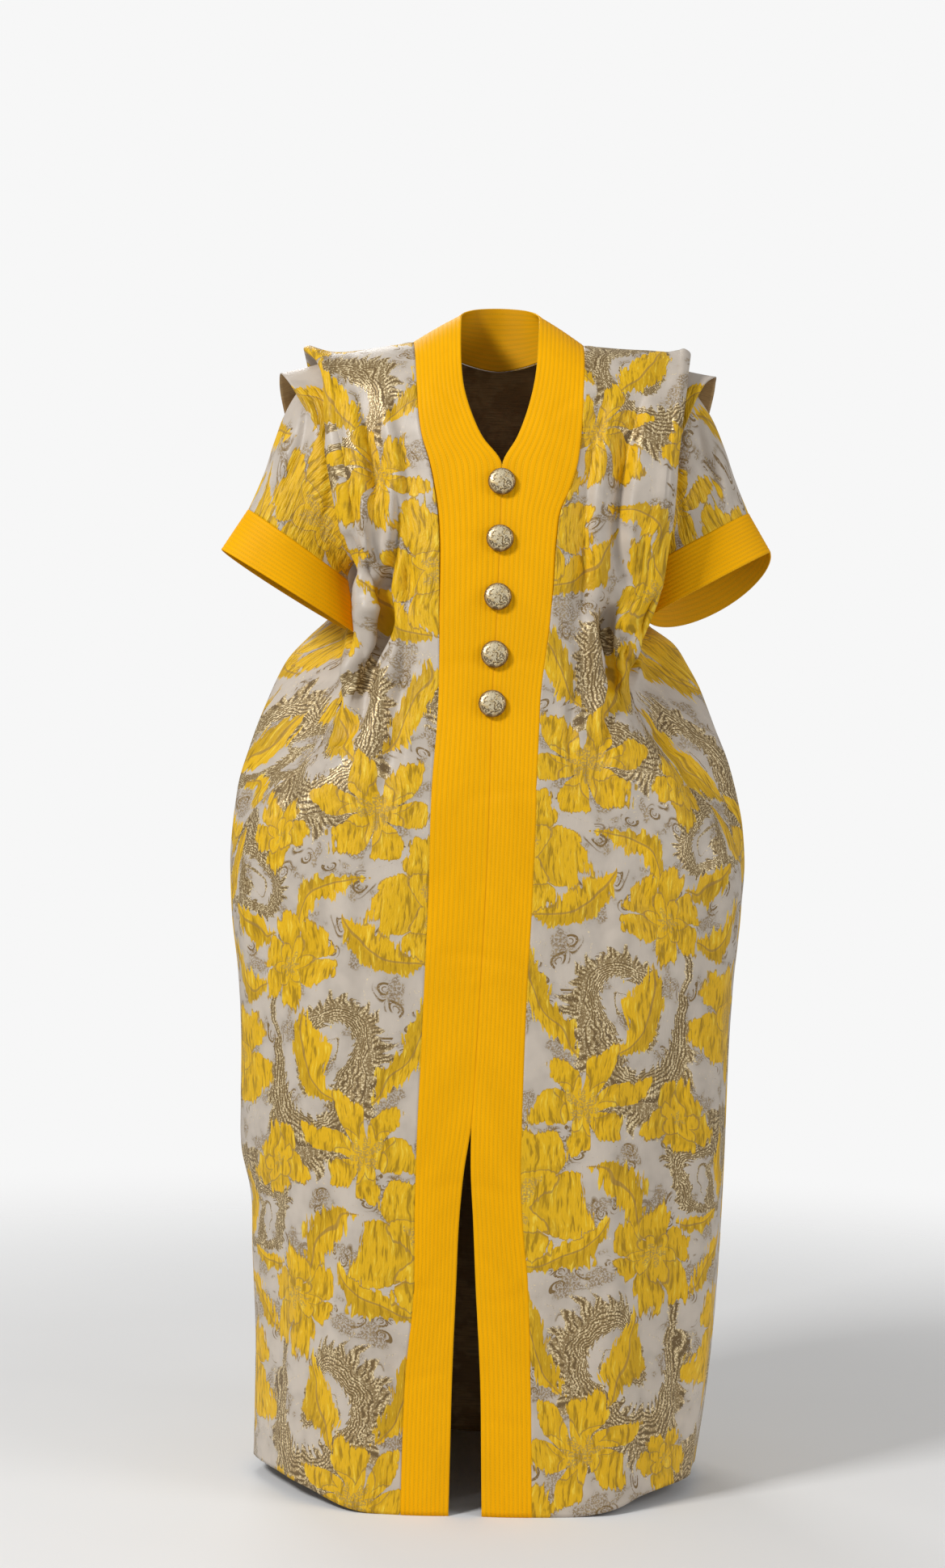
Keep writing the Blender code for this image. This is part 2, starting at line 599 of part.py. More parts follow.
def sleeve_turns(ring):
    """The angle of each point of the armhole's ring: 0 at the shoulder, pi under the arm, less than 0
    at the front."""
    top = len(ARCH_ROWS) - 1
    low = len(ring) - UNDER_POINTS + UNDER_POINTS // 2
    lengths = [(ring[i] - ring[i - 1]).length for i in range(len(ring))]
    back = sum(lengths[top + 1:low + 1])
    front = sum(lengths) - back
    turns, run = [], 0.0
    for i in range(len(ring)):
        if i > top:
            run += lengths[i]
            turns.append(math.pi * run / back if i <= low else math.pi + math.pi * (run - back) / front)
        else:
            turns.append(0.0)
    run = 0.0
    for i in range(top - 1, -1, -1):
        run += lengths[i + 1]
        turns[i] = -math.pi * run / front
    return [t if t <= math.pi else t - 2 * math.pi for t in turns]


def ring_point(side, ring, turn):
    """A point of a sleeve ring: 0 is the line of the cuff's seam, 1 is the cuff's hem."""
    table = SLEEVE_RINGS[side]
    read = {name: table.read(name, ring) for name in RING_COLUMNS.split()[1:]}
    inner = Vector((SIDES[side] * read["inner_x"], read["y"], read["inner_z"]))
    outer = Vector((SIDES[side] * read["outer_x"], read["y"], read["outer_z"]))
    middle, long_half = (inner + outer) / 2, (outer - inner) / 2
    down = Vector((long_half.z, 0, -long_half.x)).normalized() * SIDES[side]
    rear = math.sin(turn)
    point = middle + long_half * math.cos(turn) + Vector((0, read["depth"] * rear, 0))
    return point + down * read["rear_drop"] * max(rear, 0.0)


def sleeve_ring(side):
    """The armhole's ring as (point, inward normal): the sleeve's root lies two layers under the
    armhole's turned edge, and just over the side cloth under the arm."""
    clear = Vector((SIDES[side] * UNDERARM_CLEAR, 0, UNDERARM_CLEAR))
    ring = []
    for point, normal, drop in armhole(side):
        near_floor = smoothstep(UNDERARM - UNDERARM_LIFT, UNDERARM, drop)
        ring.append((point + normal * 2 * LAYER + clear * near_floor, normal))
    for k in range(1, UNDER_POINTS + 1):
        ring.append((notch_point(side, k / (UNDER_POINTS + 1)) + clear, Vector()))
    return ring


def sleeve_columns(side):
    """The sleeve as columns that run from the armhole's ring to the cuff's seam."""
    ring = sleeve_ring(side)
    out = Vector((SIDES[side], 0, 0))
    columns = []
    for (root, normal), turn in zip(ring, sleeve_turns([point for point, _ in ring])):
        end = ring_point(side, 0, turn)
        reach = (end - root).length * SLEEVE_REACH
        swell = Vector((SIDES[side] * 0.6, 0, 0.8)) * SLEEVE_SWELL * max(math.cos(turn), 0.0)
        leave = ((end - root).normalized() + out).normalized()
        arrive = (ring_point(side, 1, turn) - end).normalized()
        a = root + leave * reach + swell + normal * SLEEVE_DIP
        b = end - arrive * reach + swell
        columns.append([cubic(root, a, b, end, k / SLEEVE_RUNS) for k in range(SLEEVE_RUNS + 1)])
    return columns


def cuff_columns(side):
    turns = sleeve_turns([point for point, _ in sleeve_ring(side)])
    return [[ring_point(side, k / CUFF_RUNS, turn) for k in range(CUFF_RUNS + 1)] for turn in turns]


def trimmed(rows, start=None, end=None, first=None, last=None):
    """The grid with its edges drawn in along the cloth, each by a list of distances."""
    cut = [list(row) for row in rows]
    for row, distance in zip(cut, start or []):
        row[0] = row[0] + (row[1] - row[0]).normalized() * distance
    for row, distance in zip(cut, end or []):
        row[-1] = row[-1] + (row[-2] - row[-1]).normalized() * distance
    if first:
        cut[0] = [a + (b - a).normalized() * d for a, b, d in zip(cut[0], cut[1], first)]
    if last:
        cut[-1] = [a + (b - a).normalized() * d for a, b, d in zip(cut[-1], cut[-2], last)]
    return cut


def seam_trims(seam, one_side, other_side, wall):
    """Half the gap at each point of a seam. Where the pieces meet at an angle, their middle lines part
    further, so that the faces of their walls still keep the gap."""
    trims = []
    for point, one, other in zip(seam, one_side, other_side):
        turn = min((point - one).angle(other - point), math.radians(100))
        trims.append(SEAM / 2 + wall / 2 * math.tan(turn / 2))
    return trims


def sheet(name, rows, thickness, material, collection, closed=False):
    """One piece of cloth: a grid laid through the rows, thickened evenly to both sides."""
    if closed:
        rows = [*rows, rows[0]]
    bm = bmesh.new()
    across, down = len(rows[0]) - 1, len(rows) - 1
    bmesh.ops.create_grid(bm, x_segments=across, y_segments=down, size=1)
    ordered = sorted(bm.verts, key=lambda v: (round(v.co.y, 5), round(v.co.x, 5)))
    for vert, point in zip(ordered, (p for row in rows for p in row)):
        vert.co = point * MM
    if closed:
        bmesh.ops.remove_doubles(bm, verts=bm.verts, dist=1e-6)
    mesh = bpy.data.meshes.new(name)
    bm.to_mesh(mesh)
    bm.free()
    mesh.shade_smooth()
    mesh.materials.append(material)
    piece = bpy.data.objects.new(name, mesh)
    collection.objects.link(piece)
    wall = piece.modifiers.new("wall", "SOLIDIFY")
    wall.thickness = thickness * MM
    wall.offset = 0
    wall.use_even_offset = True
    return piece


def button(number, drop, material, collection):
    """A cloth-covered domed button on the line where the bands meet."""
    half, rim = BUTTON_WIDTH / 2, BUTTON_RIM
    dome = [
        (half * DOME_SHARE * math.cos(a), rim + (BUTTON_HEIGHT - rim) * math.sin(a))
        for a in (math.radians(d) for d in DOME_ANGLES)
    ]
    outline = [*dome, (half, rim), (half, 0), (0, 0)]
    mesh = bpy.data.meshes.new(f"button_{number}")
    points = [Vector((0 if i in (0, len(outline) - 1) else x, 0, z)) * MM for i, (x, z) in enumerate(outline)]
    mesh.from_pydata(points, [(i, i + 1) for i in range(len(points) - 1)], [])
    mesh.materials.append(material)
    piece = bpy.data.objects.new(f"button_{number}", mesh)
    collection.objects.link(piece)
    turned = piece.modifiers.new("turned", "SCREW")
    turned.axis = "Z"
    turned.steps = turned.render_steps = BUTTON_STEPS
    turned.use_merge_vertices = True
    turned.merge_threshold = 1e-6
    turned.use_smooth_shade = False
    seat = section_to_world(FRONT_LINE, "left", drop, 0, 0, 1)
    slope = band_slope(drop)
    lift = BAND_CLOTH / 2 + BAND_BOW + SEAM
    normal = Vector((0, -math.cos(slope), math.sin(slope)))
    place = Vector((CENTRE_LINE.read("x", drop), seat.y, seat.z)) + normal * lift
    piece.location = place * MM
    piece.rotation_euler = (math.pi / 2 - slope, 0, 0)
    return piece


def band_slope(drop):
    """How far the band leans back from upright where a button sits, as an angle."""
    reach = BUTTON_WIDTH / 2
    high = FRONT_LINE.read("y", drop - reach)
    low = FRONT_LINE.read("y", drop + reach)
    return math.atan2(high - low, 2 * reach)


def cloth_material(name, colour, roughness, metallic):
    material = bpy.data.materials.new(name)
    material.use_nodes = True
    shader = material.node_tree.nodes["Principled BSDF"]
    shader.inputs["Base Color"].default_value = (*colour, 1)
    shader.inputs["Roughness"].default_value = roughness
    shader.inputs["Metallic"].default_value = metallic
    return material


def join_front(side, fronts, bands, neck, back):
    """The front panel's and the band's rows, trimmed where they meet each other and their neighbours,
    and the trims that the back panel and the neck band take at the same seams."""
    front, band = fronts[side], bands[side]
    beside = [row[-2] if side == "left" else row[1] for row in back_beside_front(back)]
    at_side = seam_trims([row[-1] for row in front], [row[-2] for row in front], beside, CLOTH)
    free = len(ARCH_ROWS)
    at_side[:free] = [0.0] * free
    at_band = seam_trims(
        [row[-1] for row in band], [row[-2] for row in band], [row[1] for row in front], BAND_CLOTH
    )
    at_neck = seam_trims(band[0], band[1], neck[1 if side == "right" else -2], BAND_CLOTH)
    front = trimmed(front, start=at_band, end=at_side, first=[SHOULDER_TRIM] * len(front[0]))
    band = trimmed(band, [SEAM / 2] * len(band), at_band, at_neck)
    return front, band, [0.0] * (free + len(NOTCH_ROWS)) + at_side[free:], at_neck


def back_beside_front(back):
    """The back's rows that meet a row of the front at the side seam."""
    return [row for row, drop in zip(back, BACK_ROWS) if drop in FRONT_ROWS]


def join_sleeve(side):
    """The sleeve's and the cuff's columns, trimmed where they meet."""
    sleeve, cuff = sleeve_columns(side), cuff_columns(side)
    at_cuff = seam_trims(
        [column[0] for column in cuff], [column[-2] for column in sleeve], [column[1] for column in cuff],
        BAND_CLOTH,
    )
    return trimmed(sleeve, end=at_cuff), trimmed(cuff, start=at_cuff)


def build_robe():
    for old in list(bpy.data.objects):
        bpy.data.objects.remove(old)
    robe = bpy.data.collections.new("grand_boubou_robe")
    bpy.context.scene.collection.children.link(robe)
    brocade = cloth_material("brocade", (0.62, 0.52, 0.30), 0.45, 0.2)
    satin = cloth_material("yellow_band", (0.80, 0.38, 0.01), 0.5, 0.0)
    covered = cloth_material("covered_button", (0.55, 0.44, 0.22), 0.4, 0.4)

    fronts = {side: [front_row(side, drop) for drop in FRONT_ROWS] for side in SIDES}
    bands = {side: [band_row(side, drop) for drop in FRONT_ROWS] for side in SIDES}
    back = [back_row(*drops) for drops in back_drops()]
    neck = neck_band_rows()
    side_trims, neck_trims = {}, {}
    for side in SIDES:
        front, band, side_trims[side], neck_trims[side] = join_front(side, fronts, bands, neck, back)
        sheet(f"front_{side}", front, CLOTH, brocade, robe)
        sheet(f"band_{side}", band, BAND_CLOTH, satin, robe)
        sheet(f"shoulder_pleat_{side}", pleat_rows(side), CLOTH, brocade, robe)
        sleeve, cuff = join_sleeve(side)
        sheet(f"sleeve_{side}", sleeve, CLOTH, brocade, robe, closed=True)
        sheet(f"cuff_{side}", cuff, BAND_CLOTH, satin, robe, closed=True)

    neck = trimmed(neck, first=neck_trims["right"], last=neck_trims["left"])
    beside_neck = (len(back[0]) - len(neck)) // 2
    at_neckline = seam_trims(
        [row[-1] for row in neck], [row[-2] for row in neck], back[1][beside_neck:], BAND_CLOTH
    )
    at_shoulder = [SHOULDER_TRIM] * len(back[0])
    at_shoulder[beside_neck:beside_neck + len(neck)] = at_neckline
    sheet("back", trimmed(back, side_trims["right"], side_trims["left"], at_shoulder), CLOTH, brocade, robe)
    sheet("band_neck", trimmed(neck, end=at_neckline), BAND_CLOTH, satin, robe)
    for number, drop in enumerate(BUTTON_DROPS, 1):
        button(number, drop, covered, robe)


build_robe()
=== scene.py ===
"""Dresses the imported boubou: brocade panels, quilted satin bands, covered buttons, and the stage they are shown on."""

import math
from functools import partial

import bmesh
import bpy
import numpy as np
from bpy.props import FloatProperty, FloatVectorProperty, IntProperty, PointerProperty
from mathutils import Matrix, Vector
from numpy.linalg import norm


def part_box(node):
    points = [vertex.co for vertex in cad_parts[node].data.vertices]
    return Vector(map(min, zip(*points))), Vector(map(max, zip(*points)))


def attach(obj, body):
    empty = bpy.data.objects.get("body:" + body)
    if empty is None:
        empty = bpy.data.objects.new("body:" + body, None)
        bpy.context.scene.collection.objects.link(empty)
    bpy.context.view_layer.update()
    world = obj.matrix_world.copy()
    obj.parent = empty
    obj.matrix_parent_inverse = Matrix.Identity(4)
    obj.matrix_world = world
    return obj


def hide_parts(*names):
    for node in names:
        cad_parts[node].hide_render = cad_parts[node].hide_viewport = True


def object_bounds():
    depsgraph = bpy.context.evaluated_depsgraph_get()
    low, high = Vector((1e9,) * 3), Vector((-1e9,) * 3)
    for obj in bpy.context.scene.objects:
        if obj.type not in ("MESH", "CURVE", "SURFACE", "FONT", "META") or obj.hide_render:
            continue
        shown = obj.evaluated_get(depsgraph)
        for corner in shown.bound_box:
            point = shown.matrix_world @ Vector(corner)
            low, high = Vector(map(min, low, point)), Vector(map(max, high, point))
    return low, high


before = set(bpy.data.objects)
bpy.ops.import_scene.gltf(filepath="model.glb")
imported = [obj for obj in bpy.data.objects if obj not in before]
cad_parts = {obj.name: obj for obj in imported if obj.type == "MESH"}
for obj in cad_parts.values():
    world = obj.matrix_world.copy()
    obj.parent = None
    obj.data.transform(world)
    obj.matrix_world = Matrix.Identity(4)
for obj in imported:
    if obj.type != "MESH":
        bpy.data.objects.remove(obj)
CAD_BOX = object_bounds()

bl_info = {
    "name": "Grand Boubou Robe",
    "version": (1, 0, 0),
    "blender": (4, 5, 0),
    "location": "View3D > Sidebar > Robe",
    "description": "Sews a brocade boubou over its packed solids",
    "category": "Object",
}

MM = 0.001  # one millimetre, in the metres of the frame
THROUGH = 4.5 * MM  # longer than any packed wall is thick
SEAM = 0.25 * MM  # over half of the 0.3 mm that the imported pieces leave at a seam
WELD = 0.001 * MM  # corners closer than this are one
TINY = 1e-9  # keeps a division or an interpolation sound
ACROSS = {"front": 14, "back": 33, "shoulder_pleat": 5, "band": 5}  # points across each open panel's packed wall

# where on the cloth each brocade piece is cut, along the weft and the warp, so that its flowers fall well
CUT_FROM = {
    "front_right": (0.035, 0.062), "front_left": (0.055, 0.002), "back": (0.12, -0.1),
    "shoulder_pleat_right": (0.07, 0), "shoulder_pleat_left": (0.07, 0),
    "sleeve_right": (0.092, -0.270), "sleeve_left": (0.180, -0.170),
}
# each slot's cloth: the size that is its thickness, and the finishes of its face and its wrong side
CLOTHS = {
    "brocade": ("wall", "brocade_face", "brocade_reverse"),
    "yellow_band": ("band_wall", "satin", "satin_reverse"),
}


# ---------------- sizes and colours


Length = partial(FloatProperty, unit="LENGTH")
Power = partial(FloatProperty, unit="POWER")
Colour = partial(FloatVectorProperty, subtype="COLOR")


class ClothSizes(bpy.types.PropertyGroup):
    """Sizes that every piece of cloth shares."""

    wall: Length(name="Cloth thickness", description="Thickness of one layer of brocade", default=0.0011)
    band_wall: Length(name="Band thickness", description="Thickness of a padded, topstitched band", default=0.0018)
    cell: Length(name="Cell", description="Widest cell in the panels and sleeves", default=0.0038)
    back_cell: Length(name="Back cell", description="Widest cell in the back, one large panel", default=0.0064)
    band_cell: Length(name="Band cell", description="Widest cell across a band, to take its channels", default=0.0015)
    band_rows: Length(name="Band rows", description="Longest cell down a band", default=0.006)
    creasing: FloatProperty(
        name="Creasing", description="Share of each crease's depth that shows", default=1.3, min=0.0, max=2.0,
        subtype="FACTOR",
    )


class BrocadeLook(bpy.types.PropertyGroup):
    """Colours and sizes of the woven pattern."""

    repeat_width: Length(name="Repeat width", description="Width of one column of the woven pattern", default=0.335)
    repeat_height: Length(name="Repeat height", description="Height of one repeat down a column", default=0.400)
    ground: Colour(name="Ground", description="Silver satin behind the pattern", default=(0.565, 0.495, 0.42))
    flower: Colour(name="Flower", description="Puckered yellow of flowers and leaves", default=(0.80, 0.465, 0.006))
    # painted shade: darker yellow in the hollows of the puckers, on one side of each leaf and round the inner petals
    flower_shade: Colour(name="Flower shadow", description="Darker yellow in the puckers", default=(0.42, 0.24, 0.004))
    # painted highlight: paler yellow on the crests of the puckers
    flower_highlight: Colour(name="Flower light", description="Paler yellow on their crests", default=(0.96, 0.70, 0.07))
    vein: Colour(name="Vein", description="Brown lines between and along the petals", default=(0.34, 0.20, 0.05))
    heart: Colour(name="Heart", description="Specks in the middle of a flower", default=(0.42, 0.28, 0.08))
    gold: Colour(name="Gold thread", description="Metallic thread of the scrolls", default=(0.355, 0.25, 0.115))
    gold_line: Colour(name="Scroll line", description="Brown thread between the gold", default=(0.13, 0.078, 0.028))
    glint: Colour(name="Glint", description="Gold thread where it catches the light", default=(0.86, 0.70, 0.42))
    sprig: Colour(name="Sprig", description="Brown thread of the small curls", default=(0.215, 0.135, 0.05))
    reverse: Colour(name="Reverse", description="Wrong side of the brocade", default=(0.34, 0.20, 0.075))
    reverse_gold: Colour(name="Reverse gold", description="Gold that shows there", default=(0.46, 0.30, 0.13))
    reverse_float: Colour(name="Reverse float", description="Loose brown thread there", default=(0.20, 0.11, 0.04))


class BandLook(bpy.types.PropertyGroup):
    """Colour and stitching of the satin bands and cuffs."""

    satin: Colour(name="Satin", description="Yellow satin of the bands and cuffs", default=(0.98, 0.46, 0.0))
    shadow: Colour(name="Stitch shadow", description="Satin that a stitch row pulls in", default=(0.60, 0.26, 0.001))
    stitch: Colour(name="Stitch", description="Thread of the topstitching", default=(0.98, 0.58, 0.01))
    inside: Colour(name="Inside", description="Shade over the satin's wrong side", default=(0.25, 0.12, 0.01))
    channel: Length(name="Channel", description="Distance between two rows of topstitching", default=0.0056)
    puff: Length(name="Puff", description="Height of the padding between two rows", default=0.00035)


class ButtonLook(bpy.types.PropertyGroup):
    """Form and colours of the covered buttons."""

    segments: IntProperty(name="Segments", description="Faces round a button", default=72, min=24, max=144)
    tucks: IntProperty(name="Tucks", description="Small tucks round a button's rim", default=22, min=6, max=48)
    ground: Colour(name="Ground", description="Pale satin of a button's cover", default=(0.72, 0.61, 0.40))
    petal: Colour(name="Petal", description="Warmer patches on it", default=(0.66, 0.49, 0.24))
    fleck: Colour(name="Fleck", description="Thread that catches the light", default=(0.95, 0.84, 0.58))
    rim: Colour(name="Rim", description="Shade where the cover turns under", default=(0.15, 0.09, 0.03))


class StageLook(bpy.types.PropertyGroup):
    """Floor, light and camera."""

    floor: Colour(name="Floor", description="Colour of the plain floor", default=(0.86, 0.86, 0.86))
    floor_radius: Length(name="Floor radius", description="How far the floor reaches", default=2.7)
    glow: FloatProperty(name="Glow", description="Light that comes from all sides", default=0.34, min=0.0)
    sky: FloatProperty(name="Sky", description="Brightness of what shows behind the robe", default=0.93, min=0.0)
    key: Power(name="Key light", description="Power of the main light", default=96.0)
    fill: Power(name="Fill light", description="Power of the two lights that soften it", default=23.0)
    distance: Length(name="Camera distance", description="From the camera to the robe's middle", default=3.2)
    view: Length(name="View height", description="Height that the camera takes in there", default=1.94)


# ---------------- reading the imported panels


def walked(left, beside, far):
    """One run from neighbour to neighbour, taken out of `left`. Each step goes to the least `far` of those ahead."""
    run = [min(left)]
    left.discard(run[0])
    while ahead := [p for p in beside[run[-1]] if p in left]:
        run.append(min(ahead, key=lambda p: far(run[-1], p)))
        left.discard(run[-1])
    return run


class Wall:
    """The closed wall of one packed panel, with its split corners joined again."""

    def __init__(self, node):
        mesh = bmesh.new()
        mesh.from_mesh(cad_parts[node].data)
        bmesh.ops.remove_doubles(mesh, verts=mesh.verts, dist=WELD)
        mesh.verts.ensure_lookup_table()
        mesh.verts.index_update()
        self.points = np.array([v.co[:] for v in mesh.verts])
        self.triangles = np.array([[v.index for v in f.verts] for f in mesh.faces])
        self.links = [[e.other_vert(v).index for e in v.link_edges] for v in mesh.verts]
        mesh.free()
        a, b, c = (self.points[self.triangles[:, k]] for k in range(3))
        normals = np.zeros_like(self.points)
        for k in range(3):
            np.add.at(normals, self.triangles[:, k], np.cross(b - a, c - a))
        self.normals = normals / norm(normals, axis=1, keepdims=True)
        self.twins = self.across()
        self.rims = self.walk_rims()

    def across(self):
        """Each rim point's twin on the wall's other face: the two share an edge that runs through the wall."""
        upright = 0.7  # of such an edge's length, at least, runs along the normal at both its ends
        twins = {}
        for a, near in enumerate(self.links):
            for b in near:
                way = self.points[b] - self.points[a]
                long = norm(way)
                if long < THROUGH and min(abs(way @ self.normals[a]), abs(way @ self.normals[b])) > upright * long:
                    twins[a] = b
        return twins

    def walk_rims(self):
        """Every closed run of rim pairs, in order."""
        key = {a: (min(a, b), max(a, b)) for a, b in self.twins.items()}
        beside = {pair: set() for pair in key.values()}
        for corners in self.triangles:
            held = [key[c] for c in corners if c in key]
            for pair in set(held):
                if held.count(pair) == 2:
                    for other in set(held) - {pair}:
                        beside[pair].add(other)
                        beside[other].add(pair)
        left, runs = set(beside), []
        while left:
            runs.append(walked(left, beside, lambda last, pair: pair))
        return runs

    def middle(self, pair):
        """The point halfway through the wall at a rim pair."""
        return self.points[list(pair)].mean(axis=0)

    def steps_from(self, starts):
        """How many edges each point is from the nearest start."""
        away = dict.fromkeys(starts, 0)
        reached = list(away)
        for a in reached:
            for b in self.links[a]:
                if b not in away:
                    away[b] = away[a] + 1
                    reached.append(b)
        return away


def open_grid(node, columns, corner):
    """The middle of an open panel's packed wall, as rows and columns of points.

    The first row starts at the panel's corner that is nearest to `corner`."""
    wall = Wall(node)
    (run,) = wall.rims
    rows = len(run) // 2 - columns + 2
    off = [norm(wall.middle(pair) - corner) for pair in run]
    for start in np.argsort(off):
        for way in (1, -1):
            walk = (run[start:] + run[:start])[::way]
            walk = walk if way == 1 else walk[-1:] + walk[:-1]
            top = wall.steps_from([v for pair in walk[:columns] for v in pair])
            side = wall.steps_from([v for pair in walk[:1] + walk[:-rows:-1] for v in pair])
            if max(top.values()) != rows - 1 or max(side.values()) != columns - 1:
                continue
            grid, seen = np.zeros((rows, columns, 3)), np.zeros((rows, columns, 1))
            for v, point in enumerate(wall.points):
                grid[top[v], side[v]] += point
                seen[top[v], side[v]] += 1
            if seen.min() == seen.max() == 2:
                return grid / seen
    raise RuntimeError(f"{node} isn't a wall of {rows} rows and {columns} columns")


def in_step(ring, before):
    """The ring turned, and run the other way if need be, to lie best on the one before it."""
    turned = [np.roll(way, turn, axis=0) for way in (ring, ring[::-1]) for turn in range(len(ring))]
    return min(turned, key=lambda way: ((way - before) ** 2).sum())


def ring_grid(node):
    """The middle of a tube's packed wall, as rings of points from its upper end down."""
    wall = Wall(node)
    upper, lower = sorted(wall.rims, key=lambda run: -np.mean([wall.middle(p)[2] for p in run]))
    away = wall.steps_from([v for pair in upper for v in pair])
    levels = max(away.values()) + 1
    rings = [np.array([wall.middle(pair) for pair in upper])]
    rings[0] = np.roll(rings[0], -int(np.argmin(np.abs(rings[0][:, 0]))), axis=0)
    for level in range(1, levels):
        left = {v for v, d in away.items() if d == level}
        if level == levels - 1:
            rings.append(in_step(np.array([wall.middle(pair) for pair in lower]), rings[-1]))
            continue
        skins = []
        while left:
            run = walked(left, wall.links, lambda last, v: norm(wall.points[v] - wall.points[last]))
            skins.append(in_step(wall.points[run], rings[-1]))
        if len(skins) != 2:
            raise RuntimeError(f"{node} has {len(skins)} skins at ring {level}")
        rings.append((skins[0] + skins[1]) / 2)
    return np.array(rings)


# ---------------- making cloth from the grids


def closed(grid):
    """A ring's grid with its first column again at its end."""
    return np.concatenate([grid, grid[:, :1]], axis=1)


def cells(grid):
    """The four corners of every cell, in order round it."""
    return grid[:-1, :-1], grid[1:, :-1], grid[1:, 1:], grid[:-1, 1:]


def smoother(grid, cell, ring=False):
    """More points along the grid's first axis, on a smooth curve through the ones it has."""
    ends = np.roll(grid, -1, axis=0) if ring else grid[1:]
    starts = grid if ring else grid[:-1]
    chords = norm(ends - starts, axis=2)
    gaps = np.maximum(chords.mean(axis=1), WELD)[:, None, None]
    slopes = (ends - starts) / gaps
    if ring:
        before, gap_before = np.roll(slopes, 1, axis=0), np.roll(gaps, 1, axis=0)
        tangents = (gap_before * slopes + gaps * before) / (gap_before + gaps)
        after = np.roll(tangents, -1, axis=0)
    else:
        inner = (gaps[:-1] * slopes[1:] + gaps[1:] * slopes[:-1]) / (gaps[:-1] + gaps[1:])
        tangents = np.concatenate([2 * slopes[:1] - inner[:1], inner, 2 * slopes[-1:] - inner[-1:]])
        tangents, after = tangents[:-1], tangents[1:]
    made = []
    for k, chord in enumerate(chords.max(axis=1)):
        steps = max(1, round(chord / cell))
        for t in np.arange(steps) / steps:
            made.append(
                (1 + 2 * t) * (1 - t) ** 2 * starts[k] + t * (1 - t) ** 2 * gaps[k] * tangents[k]
                + t * t * (3 - 2 * t) * ends[k] + t * t * (t - 1) * gaps[k] * after[k]
            )
    return np.array(made if ring else made + [grid[-1]])


def refined(grid, along, across, ring=False):
    """The grid with cells no longer than `along` down its rows and `across` between its columns."""
    grid = smoother(grid, along)
    return smoother(grid.transpose(1, 0, 2), across, ring).transpose(1, 0, 2)


def lengths(grid):
    """Distance run across each row, as the cloth lies."""
    across = norm(np.diff(grid, axis=1), axis=2)
    return np.concatenate([np.zeros((len(grid), 1)), across.cumsum(axis=1)], axis=1)


def plumb(grid, origin):
    """Where each point of a hanging panel lies on the flat cloth, with its warp plumb and its weft level.

    u runs from `origin` in each row, and v is how far down the column that starts highest has come by that height."""
    u = lengths(grid[..., :2]) + np.reshape(origin, (-1, 1))
    line = grid[:, grid[0, :, 2].argmax()]
    down = np.concatenate([[0], norm(np.diff(line, axis=0), axis=1).cumsum()])
    fall = np.minimum.accumulate(line[:, 2]) - np.arange(len(line)) * TINY
    return np.stack([u, -np.interp(-grid[..., 2], -fall, down)], axis=2)


def grain(grid, origin):
    """Where each point lies on the flat cloth: u along the weft from `origin` in each row, v down the warp.

    `origin` is each row's own start, so that a slanting edge cuts across the grain and the pattern hangs straight."""
    least = 0.2  # of a step runs down the warp, however much the cloth slants there
    u = lengths(grid) + np.reshape(origin, (-1, 1))
    step = norm(np.diff(grid, axis=0), axis=2)
    down = np.sqrt(np.maximum(step**2 - np.diff(u, axis=0) ** 2, (least * step) ** 2))
    return np.stack([u, -np.concatenate([np.zeros((1, u.shape[1])), down.cumsum(axis=0)])], axis=2)


def facing(grid, outward, ring=False):
    """The unit normal at each point of the grid, on the side of `outward`, or away from a ring's middle."""
    if ring:
        wide = np.concatenate([grid[:, -1:], grid, grid[:, :1]], axis=1)
        side = np.gradient(wide, axis=1)[:, 1:-1]
    else:
        side = np.gradient(grid, axis=1)
    normal = np.cross(side, np.gradient(grid, axis=0))
    normal /= np.maximum(norm(normal, axis=2, keepdims=True), TINY)
    out = grid - grid.mean(axis=1, keepdims=True) if ring else np.broadcast_to(np.array(outward, float), grid.shape)
    return normal if (normal * out).sum() > 0 else -normal


